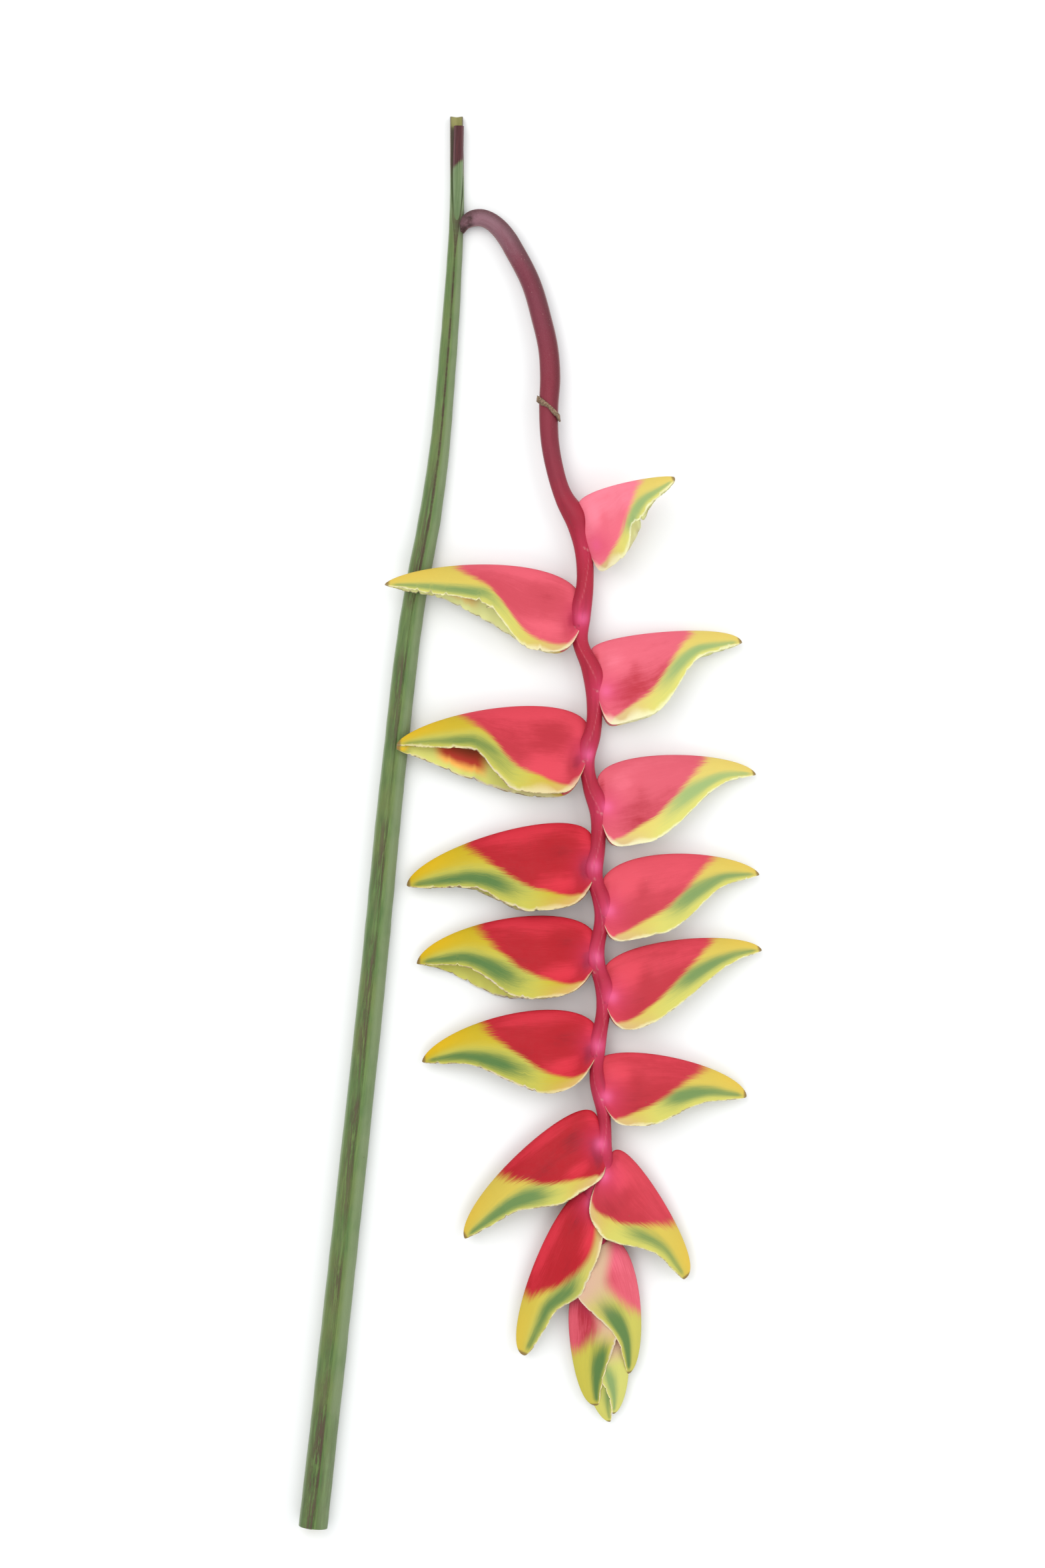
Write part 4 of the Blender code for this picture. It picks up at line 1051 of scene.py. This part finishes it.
def flower_tubes(name, bract, number, skin):
    """Three slim curved tubes from one foot in the bract's mouth.

    Each is a line bent by t^2 towards the keel or away from it, thickest past its middle, with three ribs.
    """
    root, length, along, keelward, upper = bract_axes(bract)
    foot = root + FLOWER_ROOT * length * along
    t = np.linspace(0.0, 1.0, FLOWER_ROWS)[:, None]
    angle = round_angles(FLOWER_COLUMNS)
    tubes = []
    ends = [SHOWING_FLOWERS.get(name, FLOWERS[0]), *FLOWERS[1:]]
    for order, (reach, aside, fall) in enumerate(ends):
        straight = (reach - FLOWER_ROOT) * length * along + aside * upper
        centres = foot + straight * t + fall * bract.drop * keelward * t**2
        radius = FLOWER_RADIUS * (0.45 + 1.1 * t - 1.15 * t**3) * np.sqrt(np.clip(1 - t**14, 0.02, 1))
        rings = tube(centres, radius * (1 + 0.07 * np.cos(3 * angle)), angle)
        values = {
            "along_share": t,
            "across_mm": angle * FLOWER_RADIUS,
            "number": 3 * number + order,
        }
        tubes.append(closed_piece(f"flower_{order}", rings, values, [skin]))
    bunch = join(f"flowers_{name}_tubes", tubes)
    hand_over(bunch, f"flowers_{name}")


def join(name, pieces):
    """One object from several, through one bmesh, with their attributes kept."""
    shape = bmesh.new()
    for piece in pieces:
        shape.from_mesh(piece.data)
    mesh = pieces[0].data
    shape.to_mesh(mesh)
    shape.free()
    for piece in pieces[1:]:
        bpy.data.objects.remove(piece, do_unlink=True)
    pieces[0].name = name
    mesh.name = name
    return pieces[0]


# ---------------------------------------------------------------- stem, stalks and collar

SHEATH_LAP = 0.5
SHEATH_OPENS = (306.0, 345.0)  # between which places up the stem its front opens
SLIT_PLACE = (-34.5, 322.5, 5.0)  # where the flower stalk leaves the sheath
SHUT_GAP, OPENING_GAP = 0.07, 1.02  # half the front's angle where it is shut, and what opening adds
NOTCH_DEPTH, CHANNEL_DEPTH = 0.30, 2.0  # the same for the depth of the front
TABLE_GAP = 0.02
RIBS, RIB_HEIGHT = 23, 0.05  # round the sheath
SHOULDER_SPREAD = 9.5  # along the stalk
SEAM_AFTER, SEAM_HEIGHT = 10.0, 0.12  # how far past a bract's root a seam starts, and its height
SCAR_AFTER, SCAR_LEAN, SCAR_DEPTH = 5.0, 0.7, 0.15  # the same for a scar, which leans as it goes round
# radii at which an angle becomes the place across the fibres
SHEATH_GRAIN, INNER_GRAIN, STALK_GRAIN = 6.0, 2.6, 4.5
FRONT = math.pi / 2  # the angle round a stem that faces up
STEM_STEP, INNER_STEP, STALK_STEP, COLLAR_STEP = 2.4, 0.8, 1.2, 1.0  # along the routes
BACK_COLUMNS, FRONT_COLUMNS = 66, 20
INNER_COLUMNS = 40
STALK_COLUMNS = 56
COLLAR_ROWS, COLLAR_COLUMNS = 150, 28


def pseudostem(skin, cut):
    """A rolled sheath lying on the table, its front open at the top as a channel for the inner stalk.

    The ring is an arc of the outer circle from one edge of the channel round the back to the other, and
    then the channel: a straight line sunk by a hump of sine to the power 0.6, deep at the top and a shallow
    notch lower down. The radius steps down by the lap from one edge to the other.
    """
    route = smooth_route(STEM, STEM_STEP)
    x, y, radius = route.T
    centres = np.column_stack([x, y, radius + TABLE_GAP])
    opening = smoothstep(y, *SHEATH_OPENS)[:, None]
    half_gap = SHUT_GAP + OPENING_GAP * opening
    back = np.linspace(0.0, 1.0, BACK_COLUMNS)[None, :]
    front = np.linspace(0.0, 1.0, FRONT_COLUMNS)[None, 1:-1]
    turn = FRONT + half_gap + (TURN - 2 * half_gap) * back
    waves = (90.0, 3, 5), (60.0, 4, 6), (200.0, 8, 3)  # stretch, seed and fastest wave
    thicker, flatter, wander = (ripple(y / long, seed, 1, top)[:, None] for long, seed, top in waves)
    uneven = 0.14 * thicker + 0.10 * flatter * np.cos(turn * 2)
    ribs = RIB_HEIGHT * np.cos(turn * RIBS + 2 * wander)
    reach = radius[:, None] + SHEATH_LAP * (1 - back) ** 1.5 + uneven * 0.6 + ribs
    back_right, back_above = reach * np.cos(turn), reach * np.sin(turn)
    edge_right = back_right[:, -1:] + (back_right[:, :1] - back_right[:, -1:]) * front
    edge_above = back_above[:, -1:] + (back_above[:, :1] - back_above[:, -1:]) * front
    depth = NOTCH_DEPTH + opening * CHANNEL_DEPTH
    front_above = edge_above - depth * np.sin(math.pi * front) ** 0.6
    rings = around(centres, np.hstack([back_right, edge_right]), np.hstack([back_above, front_above]))
    rings[..., 2] = np.maximum(rings[..., 2], 0.0)
    all_turn = np.hstack([turn, FRONT + half_gap * (2 * front - 1)])
    from_edge = np.minimum(back, 1 - back) * TURN * radius[:, None]
    channel = 0 * edge_right
    edge = np.hstack([np.exp(-from_edge / 0.7), 0.6 + channel])
    lap = np.hstack([hill(from_edge, 0.0, 0.25), 0.9 + channel])
    flank = np.hstack([np.cos(turn), channel])
    y = y[:, None]
    scuff_line = FRONT - 0.35 + 0.55 * (1 - smoothstep(y, 140.0, 260.0))
    slit = np.linalg.norm(rings - np.array(SLIT_PLACE), axis=2)
    values = {
        "along_mm": y - y[0],
        "across_mm": all_turn * SHEATH_GRAIN,
        # the channel's pale edges, and the left edge's pale bloom, partly a painted highlight
        "rim": np.clip(opening * edge + 0.9 * hill(flank, -0.97, 0.10), 0, 1),
        "bloom": smoothstep(flank, 0.15, 0.60),
        "scuffed": hill(all_turn, scuff_line, 0.5) + 0.35 * (1 - smoothstep(y, -380.0, -250.0)),
        "lap": lap * (1 - opening) * smoothstep(y, 110.0, 150.0),
        "mauve": smoothstep(y, 346.0, 356.0),
        "straw": smoothstep(y, 374.0, 376.5) * (1 - smoothstep(np.abs(all_turn - FRONT), 0.95, 1.1)),
        # painted shade round the slit
        "slit": hill(slit, 0.0, 5.2),
    }
    grow_skin("pseudostem", "sheath_green", rings, values, [skin, cut], cap_slot=1)


def inner_stalk(skin, cut):
    """The nested leaf stalk: a round rod with a shallow channel along its front, cut square at its end."""
    route = smooth_route(INNER_STALK, INNER_STEP)
    centres, radius = route[:, :3], route[:, 3:4]
    angle = round_angles(INNER_COLUMNS)
    from_front = np.abs(np.angle(np.exp(1j * (angle - FRONT))))
    reach = radius * (1 - 0.14 * hill(from_front, 0.0, 0.55))
    rings = tube(centres, reach, angle)
    values = {
        "along_mm": (route[:, 1] - route[0, 1])[:, None],
        "across_mm": INNER_GRAIN * np.cos(angle),
        "from_end_mm": (route[-1, 1] - route[:, 1])[:, None],
        "rim": hill(from_front, 1.0, 0.30),
    }
    grow_skin("inner_leaf_stalk", "stalk_purple", rings, values, [skin, cut], cap_slot=1)


def flower_stalk(skin):
    """Peduncle and zigzag rachis: a tube along the route that swells towards each bract at its node.

    The swelling is a hill along the tube times the positive part of the cosine of the angle from the
    bract's side. A thin ridge runs down from each node across the front, and a fine scar half round it.
    """
    route = smooth_route(FLOWER_STALK, STALK_STEP)
    centres, radius = route[:, :3], route[:, 3:4]
    steps = np.linalg.norm(np.diff(centres, axis=0), axis=1)
    along = np.concatenate([[0.0], np.cumsum(steps)])[:, None]
    angle = round_angles(STALK_COLUMNS)
    reach = radius * (1 + 0.012 * np.cos(5 * angle + along / 40))
    seam, scar = 0 * reach, 0 * reach
    for name, bract in BRACTS.items():
        nearest = np.argmin(np.linalg.norm(centres - np.array(bract.root), axis=1))
        place = along[nearest, 0]
        toward = SHOULDER_TILT if bract.side < 0 else math.pi - SHOULDER_TILT
        facing = np.maximum(np.cos(angle - toward), 0.0)
        size = float(radius[nearest, 0]) / NODE_RADIUS
        before, swollen = TOP_SHOULDER if name == TOP_BRACT else SHOULDER
        swollen = swollen if bract.young < 1 else 0.0
        reach = reach + swollen * size * hill(along, place - before, SHOULDER_SPREAD * size) * facing**1.3
        aside = (angle - FRONT) * bract.side
        lower = along - place - SCAR_AFTER * size - SCAR_LEAN * radius * aside
        scar = np.maximum(scar, hill(lower, 0.0, 0.35) * smoothstep(aside, -0.2, 0.2))
        below = along - place - SEAM_AFTER
        line = FRONT + (0.55 - 0.035 * np.clip(below, 0, 25)) * bract.side
        seam = np.maximum(seam, hill(angle, line, 0.04) * window(below, (-3.0, 2.0), (20.0, 30.0)))
    reach = reach + SEAM_HEIGHT * seam - SCAR_DEPTH * scar
    rings = tube(centres, reach, angle)
    values = {
        "along_mm": along,
        "across_mm": angle * STALK_GRAIN,
        "down": (1 - 0.6 * smoothstep(along, 25.0, 70.0)) * (1 - 0.8 * smoothstep(along, 110.0, 150.0)),
        # painted highlights on the knobs, and the magenta round them, partly painted sheen
        **knob_highlights(rings, BRACTS.values()),
        "seam": seam,
        "scar": scar,
        # painted shade on one side of the stalk, fading out towards the bracts
        "shaded_side": smoothstep(-np.cos(angle), -0.1, 0.8) * (1 - smoothstep(along, 110.0, 180.0)),
        # pale down along both outline edges, partly painted sheen
        "downy_rim": smoothstep(np.abs(np.cos(angle)), 0.86, 0.99) * (1 - smoothstep(along, 120.0, 190.0)),
    }
    grow_skin("flower_stalk", "rachis_red", rings, values, [skin])


def collar(skin):
    """A slanting papery band round the flower stalk: a thin closed section carried round a leaning hoop."""
    route = smooth_route(FLOWER_STALK, COLLAR_STEP)
    nearest = np.argmin(np.hypot(route[:, 0] - COLLAR_CENTRE[0], route[:, 1] - COLLAR_CENTRE[1]))
    sideways, upward = cross_axes(route[:, :3])
    across, up = sideways[nearest], upward[nearest]
    onward = np.cross(up, across)
    angle = round_angles(COLLAR_ROWS).T
    v = round_angles(COLLAR_COLUMNS) / TURN
    outer = v < 0.5
    height = np.where(outer, 1 - 4 * v, 4 * v - 3)
    skirt = smoothstep(height, -1.0, 1.0)
    round_it = angle / TURN
    frill = 0.5 * np.sin(3 * angle) + 0.35 * np.sin(7 * angle + 1.0) + 0.25 * ripple(round_it, 21, 9, 30)
    edge = COLLAR_HEIGHT / 2 * height + frill * skirt
    thick = 0.75 + 0.35 * skirt + 0.22 * ripple(round_it, 23, 5, 26)
    crumple = 0.18 * ripple(round_it + 0.3 * height, 25, 8, 34)
    out = route[nearest, 3] + COLLAR_GAP + np.where(outer, thick + crumple, 0.0)
    right, above = out * np.cos(angle), out * np.sin(angle)
    shift = edge - COLLAR_SLANT * right
    leaning = above[..., None] * up + shift[..., None] * onward
    rings = route[nearest, :3] + right[..., None] * across + leaning
    grow_skin("collar", "dried_collar", rings, {"torn": skirt**3}, [skin], loop_rows=True)


# ---------------------------------------------------------------- floor, light and camera

VIEW_CENTRE = (-2.88, 20.16)
VIEW_HEIGHT = 846.7  # of the table, from the view's lower edge to its upper one
VIEW_LEVEL = 10.0  # height over the table at which the view has that size
FOCAL_LENGTH = 85.0
SENSOR_HEIGHT = 36.0
FLOOR_HALF = 6.0  # metres
SKY_COLOUR, SKY_STRENGTH = (0.93, 0.96, 1.0), 0.82


def floor():
    corners = [(x * FLOOR_HALF, y * FLOOR_HALF, 0.0) for x, y in ((-1, -1), (1, -1), (1, 1), (-1, 1))]
    mesh = bpy.data.meshes.new("floor")
    mesh.from_pydata(corners, [], [(0, 1, 2, 3)])
    finish, g, shader = new_material("pale_floor")
    g.feed_all(shader, {"Base_Color": FLOOR_PALE, "Roughness": 0.75})
    mesh.materials.append(finish)
    table = bpy.data.objects.new("floor", mesh)
    bpy.context.scene.collection.objects.link(table)


def area_light(name, place, size, power, colour=(1.0, 1.0, 1.0)):
    """A square light at a place in metres, turned towards the plant."""
    lamp = bpy.data.lights.new(name, "AREA")
    lamp.size = size
    lamp.energy = power
    lamp.color = colour
    obj = bpy.data.objects.new(name, lamp)
    obj.location = place
    direction = -np.array(place) / np.linalg.norm(place)
    heading = math.atan2(direction[1], direction[0]) - math.pi / 2
    obj.rotation_euler = (math.acos(-direction[2]), 0.0, heading)
    bpy.context.scene.collection.objects.link(obj)


def light_and_camera():
    area_light("key", (-0.7, 0.7, 1.8), 1.7, 22.0, (1.0, 0.99, 0.97))
    area_light("fill", (1.3, 0.3, 1.2), 1.4, 10.0, (0.98, 0.99, 1.0))
    area_light("front", (0.1, -1.5, 1.4), 1.2, 8.0)
    world = bpy.data.worlds.new("soft_sky")
    world.use_nodes = True
    sky = world.node_tree.nodes["Background"].inputs
    Graph(world.node_tree).feed_all(sky, {"Color": SKY_COLOUR, "Strength": SKY_STRENGTH})
    bpy.context.scene.world = world
    lens = bpy.data.cameras.new("camera")
    lens.lens = FOCAL_LENGTH
    lens.sensor_fit = "VERTICAL"
    lens.sensor_height = SENSOR_HEIGHT
    camera = bpy.data.objects.new("camera", lens)
    above = VIEW_HEIGHT * FOCAL_LENGTH / SENSOR_HEIGHT
    camera.location = (VIEW_CENTRE[0] * MM, VIEW_CENTRE[1] * MM, (above + VIEW_LEVEL) * MM)
    bpy.context.scene.collection.objects.link(camera)
    bpy.context.scene.camera = camera
    bpy.context.scene.view_settings.view_transform = "Standard"


def build():
    fibres, specks = fibre_group(), speck_group()
    cut = cut_face()
    pseudostem(sheath_skin(fibres, specks), cut)
    inner_stalk(inner_stalk_skin(fibres), cut)
    flower_stalk(downy_skin(fibres, specks))
    collar(collar_skin())
    skin, petals = bract_skin(fibres, specks), flower_skin(fibres)
    for number, (name, bract) in enumerate(BRACTS.items()):
        grow_skin(f"bract_{name}", "bract", *bract_rings(bract, number), [skin])
        if number < WITH_FLOWERS:
            flower_tubes(name, bract, number, petals)
    floor()
    light_and_camera()


build()
